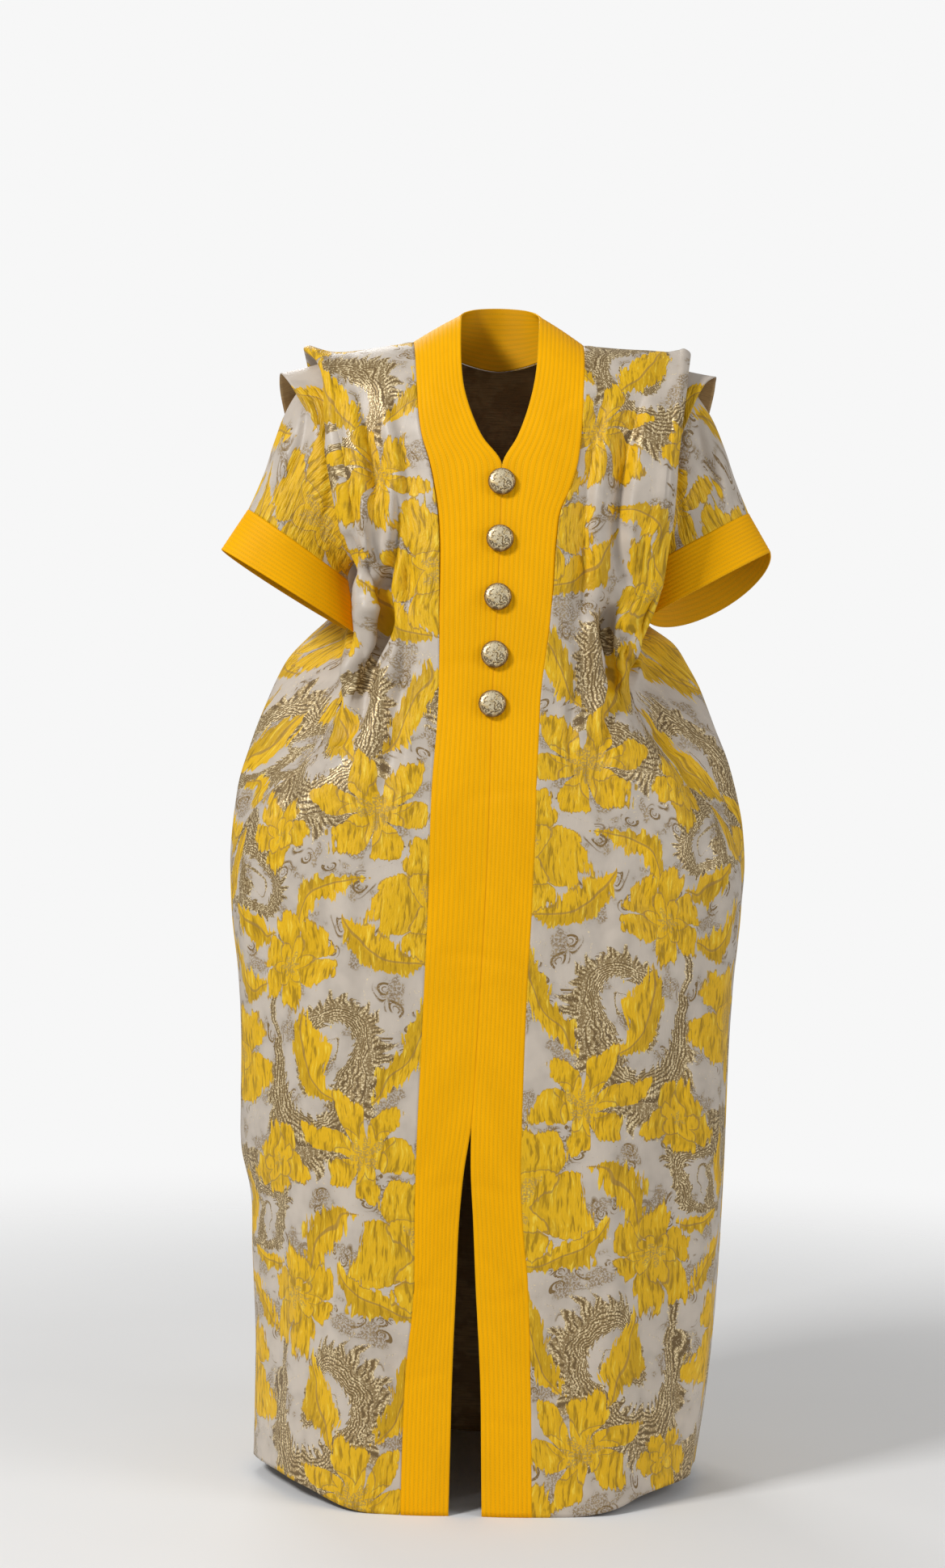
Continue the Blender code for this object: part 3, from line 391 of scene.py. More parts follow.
# Creases, in mm as seen from the front: from x and z, to x and z, the width of each side, and the depth. A side far
# narrower than the other makes a fold that laps over, and a depth below 0 makes a ridge.
FRONT_CREASES = [
    # x0, z0, x1, z1, width, other, depth
    (-172, -60, -152, -330, 26, 7, 17.4),
    (-128, -70, -112, -340, 22, 8, 13.0),
    (-196, -96, -176, -280, 16, 6, -7.2),
    (-146, -190, -134, -420, 16, 10, -11.6),
    (-112, -250, -120, -470, 15, 9, 10.9),
    (-92, -300, -94, -560, 13, 13, -4.0),
    (-178, -240, -140, -316, 5, 13, 16.0),
    (-118, -184, -137, -316, 13, 4.5, 17.0),
    (-146, -190, -140, -292, 12, 12, -10.0),
    (-139, -290, -150, -424, 17, 5.5, 27.0),
    (-150, -394, -186, -500, 17, 6, 20.0),
    (-160, -290, -168, -440, 9, 9, -10.0),
    (-124, -330, -112, -520, 8, 13, 7.0),
    (-146, -330, -168, -430, 14, 6, 10.2),
    (-120, -400, -146, -610, 18, 11, 6.0),
    (-232, -512, -262, -590, 15, 9, 8.0),
    (-214, -548, -246, -690, 17, 12, -6.0),
    (-188, -580, -212, -790, 19, 14, 6.0),
    (-262, -630, -280, -760, 15, 15, 5.0),
    (-292, -700, -262, -780, 12, 12, 4.0),
    (-150, -660, -170, -935, 21, 14, 6.0),
    (-112, -640, -124, -900, 17, 17, -4.5),
    (-250, -820, -236, -1030, 22, 15, 5.5),
    (-196, -910, -190, -1210, 24, 16, 6.5),
    (-138, -980, -146, -1310, 22, 15, -5.0),
    (-258, -1060, -252, -1320, 19, 13, 5.0),
    (-112, -1130, -104, -1385, 18, 12, 4.5),
    (-222, -1210, -226, -1385, 20, 20, -4.5),
    (176, -60, 160, -320, 26, 7, 17.4),
    (132, -66, 118, -330, 22, 8, 13.0),
    (200, -96, 182, -280, 16, 6, -5.0),
    (150, -180, 138, -400, 16, 10, -11.6),
    (116, -240, 122, -460, 15, 9, 10.9),
    (96, -290, 100, -540, 13, 13, -4.0),
    (206, -300, 158, -390, 5, 14, 11.0),
    (176, -282, 150, -372, 12, 12, -8.0),
    (158, -150, 150, -300, 6, 14, 9.0),
    (110, -360, 104, -560, 7, 13, 7.0),
    (143, -318, 153, -424, 15, 5.5, 24.0),
    (151, -398, 142, -500, 7, 14, 16.0),
    (172, -330, 168, -440, 9, 9, -8.0),
    (152, -320, 176, -420, 14, 6, 10.2),
    (124, -380, 152, -590, 18, 11, 6.0),
    (200, -452, 236, -500, 15, 9, 8.0),
    (236, -506, 266, -566, 15, 10, 6.5),
    (196, -500, 234, -595, 17, 12, -6.0),
    (176, -540, 208, -730, 19, 14, 6.0),
    (256, -590, 272, -710, 15, 15, 5.0),
    (286, -650, 262, -760, 12, 12, 4.0),
    (142, -600, 160, -850, 20, 14, 5.5),
    (112, -680, 116, -920, 17, 17, -4.5),
    (250, -780, 238, -1020, 22, 15, 6.0),
    (186, -860, 176, -1160, 23, 16, 5.5),
    (140, -940, 134, -1260, 21, 15, -5.0),
    (250, -1050, 246, -1330, 19, 13, 5.0),
    (104, -1110, 98, -1385, 18, 12, 4.5),
    (206, -1180, 214, -1385, 20, 20, -4.5),
]

BACK_CREASES = [
    (-60, -60, -50, -210, 14, 9, 5.8),
    (70, -64, 58, -230, 14, 9, 5.8),
    (-134, -90, -116, -330, 20, 8, 9.4),
    (138, -86, 122, -320, 20, 8, 9.4),
    (-238, -500, -270, -590, 15, 9, 7.5),
    (-206, -560, -236, -720, 18, 12, -6.0),
    (-176, -500, -200, -750, 20, 13, 6.0),
    (-120, -310, -144, -590, 17, 11, 5.5),
    (-86, -240, -98, -550, 18, 14, -5.0),
    (-40, -290, -54, -670, 22, 15, 6.0),
    (8, -220, 2, -630, 20, 16, -4.5),
    (52, -330, 62, -730, 23, 15, 6.0),
    (92, -260, 106, -570, 18, 13, -5.0),
    (132, -310, 154, -610, 18, 12, 5.5),
    (186, -490, 208, -750, 20, 13, 6.0),
    (214, -540, 242, -710, 17, 12, -6.0),
    (240, -486, 268, -570, 15, 9, 7.0),
    (-252, -810, -240, -1080, 22, 15, 5.5),
    (-190, -740, -184, -1150, 24, 16, 6.0),
    (-128, -800, -134, -1250, 23, 16, -5.0),
    (-72, -740, -80, -1190, 25, 17, 6.0),
    (-14, -820, -10, -1320, 24, 16, -5.0),
    (44, -760, 50, -1230, 24, 16, 6.0),
    (102, -840, 98, -1290, 22, 15, -5.0),
    (158, -770, 166, -1170, 23, 16, 6.0),
    (232, -820, 226, -1120, 21, 14, 5.5),
    (-220, -1120, -226, -1380, 20, 14, 5.0),
    (-160, -1180, -152, -1385, 19, 19, -4.5),
    (-44, -1190, -40, -1385, 20, 14, 5.0),
    (76, -1180, 84, -1385, 20, 14, 5.0),
    (196, -1140, 190, -1385, 19, 13, 5.0),
]

SLEEVE_CREASES = [
    (-232, -70, -262, -190, 11, 6, 4.0),
    (-254, -104, -256, -236, 11, 8, -3.0),
    (-214, -96, -208, -240, 11, 6, 3.5),
    (-280, -130, -300, -210, 9, 6, 3.0),
    (246, -70, 270, -170, 11, 6, 4.0),
    (266, -104, 280, -210, 11, 8, -3.0),
    (226, -96, 232, -236, 11, 6, 3.5),
    (296, -116, 316, -190, 9, 6, 3.0),
]

# topstitching stiffens the bands, so only soft cross creases form in them
BAND_CREASES = [
    (-62, -742, 44, -756, 9, 6, 1.4),
    (-58, -772, 20, -764, 7, 7, -0.9),
    (-30, -560, 60, -548, 10, 7, 1.1),
    (-66, -1010, 52, -1024, 9, 6, 1.3),
    (-84, -1128, -30, -1134, 8, 6, 1.4),
    (4, -1140, 58, -1128, 9, 6, 1.2),
    (-86, -1240, -34, -1226, 8, 6, 1.3),
    (6, -1272, 60, -1284, 9, 6, 1.1),
    (-52, -250, 50, -262, 9, 7, 1.0),
    (-64, -404, 60, -396, 10, 7, 1.1),
    (-80, -60, -40, -96, 8, 6, 1.1),
    (100, -70, 60, -104, 8, 6, 1.1),
]


def creased(grid, normals, rows, side):
    """The grid with each crease of a table pressed into the cloth that faces `side` (-1 front, 1 back)."""
    bowed = 0.06  # how far a crease bows out at its middle, of its length
    blunt, round_off = 2.5, 0.8  # how late it tapers to its ends, and how softly
    raised, beyond = 0.4, 1.8  # the cloth it lifts beside it, of its depth, and how far out that lies, in widths
    turned, edge_on = 2.2, 0.1  # how fast it fades as the cloth turns away, and what is left where that is edge on
    share = bpy.context.scene.cloth_sizes.creasing
    towards = np.clip(side * normals[..., 1] * turned + edge_on, 0, 1)
    pressed = np.zeros(grid.shape[:2])
    for x0, z0, x1, z1, width, other, depth in np.array(rows) * MM:
        way = np.array([x1 - x0, z1 - z0])
        long = norm(way)
        off = np.stack([grid[..., 0] - x0, grid[..., 2] - z0], axis=2)
        along = (off @ way) / long**2
        bow = bowed * long * np.sin(math.pi * np.clip(along, 0, 1)) * math.copysign(1, x0 * depth + TINY)
        beside = (off[..., 0] * way[1] - off[..., 1] * way[0]) / long - bow
        taper = np.clip(1 - np.abs(2 * along - 1) ** blunt, 0, None) ** round_off
        reach = np.where(beside * x0 > 0, width, other)
        spread = np.exp(-((beside / reach) ** 2)) - raised * np.exp(-((beside / (beyond * width)) ** 2))
        pressed += depth * taper * spread
    return grid - normals * (share * pressed * towards)[..., None]


def to_seams(grid, ring=False):
    """The grid with its edges moved out over half a seam's gap, so that no light shows between two pieces."""
    grid = grid.copy()
    for side in [grid] if ring else [grid, grid.transpose(1, 0, 2)]:
        for edge, inside in ((0, 1), (-1, -2)):
            way = side[edge] - side[inside]
            side[edge] += way * (SEAM / np.maximum(norm(way, axis=1, keepdims=True), TINY))
    return grid


def stand(name, data):
    """A new object of this name in the scene."""
    made = bpy.data.objects.new(name, data)
    bpy.context.scene.collection.objects.link(made)
    return made


def cloth(name, slot, grid, flat, normals, ring=False):
    """A named piece of cloth from its grid: one skin, given its wall by Solidify, with its flat lie as its UV map."""
    wall, face, reverse = CLOTHS[slot]
    grid = to_seams(grid, ring)
    points = grid.reshape(-1, 3)
    index = np.arange(len(points)).reshape(grid.shape[:2])
    if ring:
        index = closed(index)
    faces = np.stack(cells(index), axis=2).reshape(-1, 4)
    lies = np.stack(cells(np.arange(index.size).reshape(index.shape)), axis=2).reshape(-1, 4)
    a, b, c = (points[faces[:, k]] for k in range(3))
    if (np.cross(b - a, c - a) * normals.reshape(-1, 3)[faces[:, 0]]).sum() < 0:
        faces, lies = faces[:, ::-1], lies[:, ::-1]
    mesh = bpy.data.meshes.new(name)
    mesh.from_pydata(points.tolist(), [], faces.tolist())
    layer = mesh.uv_layers.new(name="Cloth")
    layer.data.foreach_set("uv", flat.reshape(-1, 2)[lies.ravel()].ravel())
    mesh.shade_smooth()
    mesh.materials.append(finish(face))
    mesh.materials.append(finish(reverse))
    piece = stand(name, mesh)
    thick = piece.modifiers.new("wall", "SOLIDIFY")
    thick.thickness, thick.offset = getattr(bpy.context.scene.cloth_sizes, wall), 0
    thick.material_offset, thick.material_offset_rim = 1, 0
    return piece


def cut_size(grid, flat, ring=False):
    """The width and length that a piece is cut to, and its flat area."""
    a, b, c, d = cells(closed(grid) if ring else grid)
    halves = norm(np.cross(b - a, c - a), axis=2) + norm(np.cross(c - a, d - a), axis=2)
    width, length = np.ptp(flat.reshape(-1, 2), axis=0).tolist()
    return (width, length), min(float(halves.sum() / 2), width * length)


def sew(node, slot, shaped, lie, normals, size, area, ring=False):
    piece = cloth(f"{node}_cloth", slot, shaped, lie, normals, ring)
    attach(piece, "root")
    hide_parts(node)


# ---------------- shader maths


def both(operation):
    """An operator and its reflected form, each of which adds this Math node."""
    return (
        lambda value, other: value.finish.math(operation, value, other),
        lambda value, other: value.finish.math(operation, other, value),
    )


class Value:
    """One socket of a material's nodes, which Python's own operators work on."""

    def __init__(self, finish, socket):
        self.finish, self.socket = finish, socket

    __add__, __radd__ = both("ADD")
    __sub__, __rsub__ = both("SUBTRACT")
    __mul__, __rmul__ = both("MULTIPLY")
    __truediv__, __rtruediv__ = both("DIVIDE")
    __gt__, __lt__ = both("GREATER_THAN")

    def __abs__(self):
        return self.finish.math("ABSOLUTE", self)


def tinted(colour, times):
    """A plain colour, lighter or darker."""
    return tuple(c * times for c in colour)


class Finish:
    """A material and the few calls that its nodes are made with."""

    def __init__(self, name):
        self.material = bpy.data.materials.new(name)
        self.material.use_nodes = True
        self.tree = self.material.node_tree
        self.tree.nodes.clear()

    def node(self, kind, settings=None, inputs=None, output=0):
        """A node of a kind, with its settings made before its sockets are given values or links."""
        node = self.tree.nodes.new("ShaderNode" + kind)
        for key, value in (settings or {}).items():
            setattr(node, key, value)
        for key, value in (inputs or {}).items():
            socket = node.inputs[key]
            if isinstance(value, Value):
                self.tree.links.new(value.socket, socket)
            elif hasattr(socket, "default_value") and hasattr(value, "__len__"):
                socket.default_value = (*value, 1) if len(socket.default_value) == 4 and len(value) == 3 else value
            else:
                socket.default_value = value
        return Value(self, node.outputs[output])

    def math(self, operation, *values):
        return self.node("Math", {"operation": operation}, dict(enumerate(values)))

    def vector(self, operation, *values, output=0, **named):
        return self.node("VectorMath", {"operation": operation}, {**dict(enumerate(values)), **named}, output)

    def mix(self, share, first, second):
        """A colour between two others."""
        return self.node("Mix", {"data_type": "RGBA"}, {0: share, 6: first, 7: second}, 2)

    def layered(self, colour, *layers):
        """A colour with others over it, each given as its share and itself."""
        for share, over in layers:
            colour = self.mix(share, colour, over)
        return colour

    def between(self, value, low, high):
        """0 below low and 1 above high, with a soft step between; the other way round if low is the greater."""
        ends = (low, high, 0, 1) if low < high else (high, low, 1, 0)
        return self.node("MapRange", {"interpolation_type": "SMOOTHSTEP"}, dict(enumerate((value, *ends))))

    def parts(self, vector, count=2):
        """A vector's first parts, as values."""
        node = self.node("SeparateXYZ", None, {0: vector}).socket.node
        return tuple(Value(self, node.outputs[k]) for k in range(count))

    def joined(self, *parts):
        """A vector of two or three values."""
        return self.node("CombineXYZ", None, dict(enumerate(parts)))

    def fused(self, value, times, plus):
        """value * times + plus, in one node."""
        return self.math("MULTIPLY_ADD", value, times, plus)

    def noise(self, vector, scale, detail=2.0, roughness=0.5, colour=False):
        return self.node(
            "TexNoise", {"noise_dimensions": "2D"},
            {"Vector": vector, "Scale": scale, "Detail": detail, "Roughness": roughness}, 1 if colour else 0,
        )

    def pushed(self, point, by, far):
        """The point moved by a noise's colour, up to `far` along each axis."""
        return self.vector("ADD", point, self.vector("SCALE", by, Scale=far))

    def lie(self):
        """The point on the flat cloth, in millimetres."""
        return self.vector("MULTIPLY", self.node("UVMap", {"uv_map": "Cloth"}), (1 / MM, 1 / MM, 1 / MM))

    def bump(self, height, distance, strength):
        return self.node("Bump", None, {"Strength": strength, "Distance": distance, "Height": height})

    def surface(self, fade=None, **inputs):
        """The shader itself, joined to the output, and clear where `fade` is 1."""
        shader = self.node("BsdfPrincipled", None, {key.replace("_", " "): value for key, value in inputs.items()})
        if fade is not None:
            shader = self.node("MixShader", None, {0: fade, 1: shader, 2: self.node("BsdfTransparent")})
        self.tree.links.new(shader.socket, self.tree.nodes.new("ShaderNodeOutputMaterial").inputs[0])
        return self.material


# ---------------- the brocade


class Repeat:
    """The brocade's repeat: where its motifs stand, and the shapes they are made of. Lengths are in millimetres.

    Each column of the pattern drops by half a repeat. The cloth's points are sheared once by that drop, so that one
    wrap gives every motif its own repeat, and two dot products undo the shear and turn the motif."""

    def __init__(self, finish, lie):
        look = bpy.context.scene.brocade_look
        self.finish = finish
        self.width, self.height = look.repeat_width / MM, look.repeat_height / MM
        self.drop = self.height / (2 * self.width)
        self.laid(lie)

    def laid(self, lie):
        """Takes the cloth's points for the motifs that are placed next."""
        x, y = self.finish.parts(lie)
        self.lie = self.finish.joined(x, self.finish.fused(x, -self.drop, y))

    def placed(self, x, y, turn=0.0, squeeze=1.0):
        """The cloth as a motif at x, y sees it, turned, and squeezed across if need be. Below 0, squeeze mirrors it."""
        f = self.finish
        moved = f.vector("SUBTRACT", self.lie, (x, y - self.drop * x, 0))
        moved = f.vector("WRAP", moved, (self.width / 2, self.height / 2, 1), (-self.width / 2, -self.height / 2, -1))
        c, s = math.cos(math.radians(turn)), math.sin(math.radians(turn))
        return (
            f.vector("DOT_PRODUCT", moved, (squeeze * (c - self.drop * s), -squeeze * s, 0), output=1),
            f.vector("DOT_PRODUCT", moved, (s + self.drop * c, c, 0), output=1),
        )

    def bloom(self, at, size, petals, phase=0.0, depth=0.45, blunt=0.45):
        """A flower with scalloped petals, as one vector: how far a point is inside it, how far inside its inner
        petals, and the rise of its petal (0 in a cleft)."""
        f = self.finish
        x, y = at
        out = f.math("SQRT", f.fused(x, x, y * y))
        angle = f.math("ARCTAN2", y, x)
        half = f.fused(angle, petals / 2, phase)
        petal = f.math("POWER", abs(f.math("COSINE", half)), blunt)
        scallop = f.fused(abs(f.math("COSINE", half * 3)), size * 0.09, size * (0.93 - depth)) - out
        inner = f.fused(abs(f.math("SINE", half)), size * 0.26, size * 0.27) - out
        return f.joined(f.fused(petal, size * depth, scallop), inner, petal)

    def leaf(self, at, length, width, bend):
        """A bent leaf along y, as one vector: how far a point is inside it, and how far to one side of its midrib."""
        f = self.finish
        x, y = at
        along = y * y
        off = f.fused(along, bend, x)
        return f.joined(f.fused(along, -width / length**2, width) - abs(off), off)

    def scroll(self, at, growth, first, last, wide, phase, teeth, count):
        """A feathered arm that widens as it unwinds, as one vector: its inside, the wave of its threads, which run
        along the arm, and across it as barbs on its outer side, and 1 in the open ground that it winds round."""
        f = self.finish
        x, y = at
        ring = 2 * math.pi
        eye = 55  # radius of the ground that it winds round
        turn = f.math("ARCTAN2", y, x) / ring
        out = f.fused(x, x, y * y)
        wound = f.math("LOGARITHM", out, growth**2) - turn + phase
        across = f.math("FRACT", wound)
        along = wound - across + turn
        taper = f.between(along, first, first + 1.5) * f.between(along, last, last - 0.4)
        feather = f.math("FRACT", f.fused(along, teeth, across * 1.6))
        half = taper * f.fused(feather, 0.40 * wide, 0.68 * wide)
        threads = f.fused(across, ring * count, f.math("SINE", along * 64) * 0.9)
        barbs = f.fused(along, ring * teeth * 3, across * 22)
        outer = f.between(across, 0.64, 0.7)
        wave = f.math("SINE", f.node("Mix", {"data_type": "FLOAT"}, {0: outer, 2: threads, 3: barbs}))
        return f.joined(half - abs(across - 0.5), wave, f.between(out, (eye + 3) ** 2, (eye - 3) ** 2))

    def over(self, shapes):
        """The shape that a point is furthest inside, of a list of shapes as vectors."""
        f = self.finish
        best = shapes[0]
        for shape in shapes[1:]:
            share = f.parts(shape)[0] > f.parts(best)[0]
            best = f.node("Mix", {"data_type": "VECTOR"}, {0: share, 4: best, 5: shape}, 1)
        return f.parts(best, 3)


def flowers(f, r, ragged):
    """Blooms with inner petals, a pointed one, and leaves: their shape, veins, painted shade and speckled hearts."""
    bloom, inner, petal = r.over([
        r.bloom(r.placed(84, 118, 12, 0.84), 82, 5),
        r.bloom(r.placed(268, 40, -28, 1.12), 64, 6, 0.7),
        r.bloom(r.placed(176, 226, 40), 70, 6, 0.3, 0.7, 0.9),
        r.bloom(r.placed(300, 196, 10, 0.9), 44, 5, 0.5),
    ])
    leaf, side, _ = r.over([
        r.leaf(r.placed(160, 54, 58), 66, 21, 0.004),
        r.leaf(r.placed(52, 336, -34), 46, 19, -0.007),
        r.leaf(r.placed(236, 118, -50), 56, 17, 0.006),
        r.leaf(r.placed(238, 322, 24), 58, 22, 0.006),
        r.leaf(r.placed(122, 340, -24), 70, 21, -0.004),
        r.leaf(r.placed(28, 218, 66), 54, 16, 0.005),
        r.leaf(r.placed(8, 276, 70), 38, 13, 0.008),
    ])
    yellow = f.between(f.math("MAXIMUM", bloom, leaf) + ragged, -0.7, 0.7)
    behind = f.between(bloom, 1.0, -1.0)
    rib = f.between(abs(side), 1.7, 0.8) * behind
    cleft = f.between(petal, 0.44, 0.32) * f.between(inner, 0.0, -2.0)
    edges = f.math("MINIMUM", abs(inner + ragged * 0.3), abs(bloom + ragged * 0.6))
    veins = f.math("MAXIMUM", rib, f.math("MAXIMUM", cleft * (1 - behind), f.between(edges, 1.7, 0.8)))
    # painted shade: one side of each leaf's midrib, and a ring round the edge of the inner petals
    painted_shade = f.between(side, -1.0, 4.0) * behind + f.between(abs(inner + 5), 8, 1) * 0.7 * (1 - behind)
    heart = f.between(inner + ragged * 0.6, 13, 17)
    return yellow, veins, painted_shade, heart


def scrolls(f, r, fine):
    """A tall crescent scroll, its lower curl, and smaller ones between the flowers: their shape, the wave of their
    threads, the brown ones among these, and the ground that they wind round."""
    arms = [
        r.scroll(r.placed(232, 328, -20, 1.5), 3.1, 2.0, 4.15, 0.43, 0.20, 25.0, 15.0),
        r.scroll(r.placed(196, 246, 160, -1.1), 2.8, 1.7, 3.75, 0.42, 0.5, 21.0, 12.0),
        r.scroll(r.placed(46, 340, 60, 1.3), 2.9, 1.8, 3.75, 0.43, 0.0, 22.0, 13.0),
        r.scroll(r.placed(340, 130, -75, -1.15), 2.9, 1.7, 3.8, 0.43, 0.35, 21.0, 12.0),
    ]
    arm, wave, _ = r.over(arms)
    hollow = f.vector("MAXIMUM", f.vector("MAXIMUM", *arms[:2]), f.vector("MAXIMUM", *arms[2:]))
    gold = f.between(f.fused(fine, 0.10, arm), 0.05, 0.075)
    brown = f.between(f.fused(fine, 1.0, wave), 0.35, 1.1)
    return gold, wave, brown, f.parts(hollow, 3)[2]


def sprigs(f, lie, fine, patch, hollow):
    """Small hooked curls, one to a cell of the open ground and none in a scroll's hollow."""
    cell = f.node("TexVoronoi", {"voronoi_dimensions": "2D"}, {"Vector": lie, "Scale": 0.036, "Randomness": 1.0}, 2)
    chance_x, chance_y = f.parts(Value(f, cell.socket.node.outputs[1]))
    local = f.vector("SUBTRACT", lie, cell)
    lx, ly = f.parts(local)
    reach = f.vector("LENGTH", local, output=1)
    spin = f.math("ARCTAN2", ly, lx) / (2 * math.pi) + chance_x
    hook = f.between(f.math("FRACT", spin), 0.12, 0.3) * f.between(reach, 1.6, 2.6)
    coil = abs(f.math("FRACT", f.math("LOGARITHM", reach, 2.3) - spin) - 0.5)
    curls = f.between(coil, 0.27, 0.19) * f.between(f.fused(chance_y, 5, reach), 15.5, 13.0)
    curls = curls * f.between(fine, 0.3, 0.38) * hook
    return curls * f.between(patch, 0.44, 0.48) * f.between(chance_y, 0.40, 0.42) * (1 - hollow)


def brocade():
    """Silver satin woven with puckered yellow flowers and leaves, and with scrolls in gold and brown thread."""
    look = bpy.context.scene.brocade_look
    f = Finish("brocade_face")
    flat = f.lie()

    # the pattern drifts over the cloth, the yellow puckers in upright ridges, and every outline wobbles
    drift = f.noise(flat, 0.0105, 1.5, colour=True)
    lie = f.vector("ADD", flat, f.vector("MULTIPLY", f.vector("SUBTRACT", drift, (0.5, 0.5, 0.5)), (62, 62, 0)))
    ridges = f.vector("MULTIPLY", f.pushed(flat, drift, 26.0), (0.2, 0.036, 1))
    crimp = f.noise(ridges, 1.0, 2.5, 0.62)
    fine = f.noise(flat, 0.42, 2.0, 0.65)
    wobble = f.noise(flat, 0.05, 1.5, 0.5, colour=True)
    ragged = f.fused(f.parts(wobble)[0], 14, f.fused(crimp, 26, -20))
    patch = f.noise(flat, 0.024, 2.0, 0.6)

    repeat = Repeat(f, lie)
    yellow, veins, painted_shade, heart = flowers(f, repeat, ragged)
    repeat.laid(f.pushed(lie, wobble, 13.0))
    gold, wave, brown, hollow = scrolls(f, repeat, fine)
    curls = sprigs(f, lie, fine, patch, hollow)
    stipple = f.between(patch, 0.56, 0.62) * f.between(fine, 0.47, 0.52)

    ground = f.mix(f.between(patch, 0.3, 0.7), tinted(look.ground, 1.06), tinted(look.ground, 0.88))
    # painted highlight: pale gold in the base colour where the scroll threads would catch the light; the same mask
    # turns the specks gold
    glint = f.between(f.fused(wave, -0.08, f.fused(crimp, 0.5, fine)), 0.79, 0.90)
    thread = f.mix(glint, f.mix(brown * 0.85, look.gold, look.gold_line), look.glint)
    # the flower's yellow, with painted shade and painted highlight from its puckers, and its veins and hearts
    puckered = f.layered(
        look.flower,
        # painted shade in the hollows of the puckers, then on one side of each leaf and round the inner petals
        (f.between(crimp, 0.5, 0.32), look.flower_shade),
        (painted_shade * 0.45, look.flower_shade),
        # painted highlight on the crests of the puckers
        (f.between(crimp, 0.6, 0.72) * 0.65, look.flower_highlight),
        (veins * 0.7, look.vein),
        (heart * f.between(fine, 0.45, 0.52) * 0.75, look.heart),
    )
    flecks = f.mix(glint, look.sprig, look.gold)
    colour = f.layered(ground, (curls, look.sprig), (stipple * 0.8, flecks), (gold, thread), (yellow, puckered))
    bright = gold * (1 - yellow)
    height = f.fused(f.noise(flat, 0.42, 1.0), 0.12, f.noise(ridges, 1.0, 2.0, 0.62))
    return f.surface(
        Base_Color=colour,
        Metallic=bright * (1 - brown) * 0.35,
        Roughness=f.fused(yellow, 0.08, f.fused(bright, 0.04, 0.42)),
        Specular_IOR_Level=0.3,
        Normal=f.bump(height, 2.2 * MM, f.fused(yellow, 0.75, f.fused(bright, 0.25, 0.12))),
    )


def brocade_reverse():
    """The brocade's wrong side: brown and gold floats over tan satin."""
    look = bpy.context.scene.brocade_look
    f = Finish("brocade_reverse")
    flat = f.lie()
    floats = f.noise(f.vector("MULTIPLY", flat, (0.03, 0.9, 1)), 1.0, 2.0)
    patch = f.noise(flat, 0.022, 3.0, 0.6)
    colour = f.layered(
        look.reverse,
        (f.between(patch, 0.42, 0.56), look.reverse_gold),
        (f.between(floats, 0.5, 0.66) * 0.5, look.reverse_float),
    )
    return f.surface(
        Base_Color=colour, Metallic=f.between(patch, 0.5, 0.6) * 0.25, Roughness=0.55,
        Normal=f.bump(floats, 0.6 * MM, 0.4),
    )


# ---------------- satin and buttons


def satin(name="satin", shade=0.0):
    """Yellow satin with rows of topstitching along v, one to each channel of u, and shaded if it is the wrong side."""
    look = bpy.context.scene.band_look
    f = Finish(name)
    flat = f.lie()
    u, v = f.parts(flat)
    stitch = 3.1  # from one stitch to the next, in millimetres
    off = f.math("PINGPONG", u, look.channel / MM / 2)
    row = f.between(off, 0.75, 0.3)
    dash = f.between(abs(f.math("FRACT", v / stitch) - 0.5), 0.42, 0.36)
    slub = f.noise(f.vector("MULTIPLY", flat, (0.9, 0.03, 1)), 1.0, 2.0)
    cloud = f.noise(flat, 0.012, 2.0)
    colour = f.layered(
        look.satin,
        (f.between(cloud, 0.3, 0.72), tinted(look.satin, 0.93)),
        (f.between(off, 1.5, 0.5) * 0.45, look.shadow),
        (row * dash * 0.6, look.stitch),
        (f.between(slub, 0.58, 0.75) * 0.18, look.shadow),
    )
    if shade:
        colour = f.mix(shade, colour, look.inside)
    height = f.between(off, 0.0, 2.2) * 0.5 + row * dash * 0.3 + slub * 0.12
    return f.surface(
        Base_Color=colour, Roughness=0.55, Specular_IOR_Level=0.08, Normal=f.bump(height, 0.5 * MM, 0.6)
    )


def button_cover():
    """Gold and silver brocade, stretched over a button: fine curls on a pale ground, darker round the rim."""
    look = bpy.context.scene.button_look
    f = Finish("button_cover")
    flat = f.lie()
    warp = f.pushed(flat, f.noise(flat, 0.16, 2.0, colour=True), 14.0)
    wave = f.math("SINE", f.vector("LENGTH", warp, output=1) * 1.15)
    petals = f.noise(warp, 0.11, 2.0)
    out = f.vector("LENGTH", flat, output=1)
    lines = f.between(wave, 0.05, 0.4) * f.between(petals, 0.34, 0.42)
    colour = f.layered(
        look.ground,
        (f.between(petals, 0.4, 0.6), look.petal),
        (lines * 0.92, bpy.context.scene.brocade_look.gold_line),
        (f.between(f.noise(flat, 0.7, 2.0), 0.56, 0.66) * 0.8, look.fleck),
        (f.between(out, 12.0, 16.5) * 0.85, look.rim),
    )
    return f.surface(
        Base_Color=colour, Metallic=0.45, Roughness=0.4, Normal=f.bump(lines * -0.5 + petals * 0.6, 0.8 * MM, 0.6)
    )


FINISHES = {
    "brocade_face": brocade,
    "brocade_reverse": brocade_reverse,
    "satin": satin,
    "satin_reverse": lambda: satin("satin_reverse", 0.3),
    "button_cover": button_cover,
}


def finish(name):
    """The material of this name, made when a piece first asks for it."""
    return bpy.data.materials.get(name) or FINISHES[name]()


# ---------------- the pieces


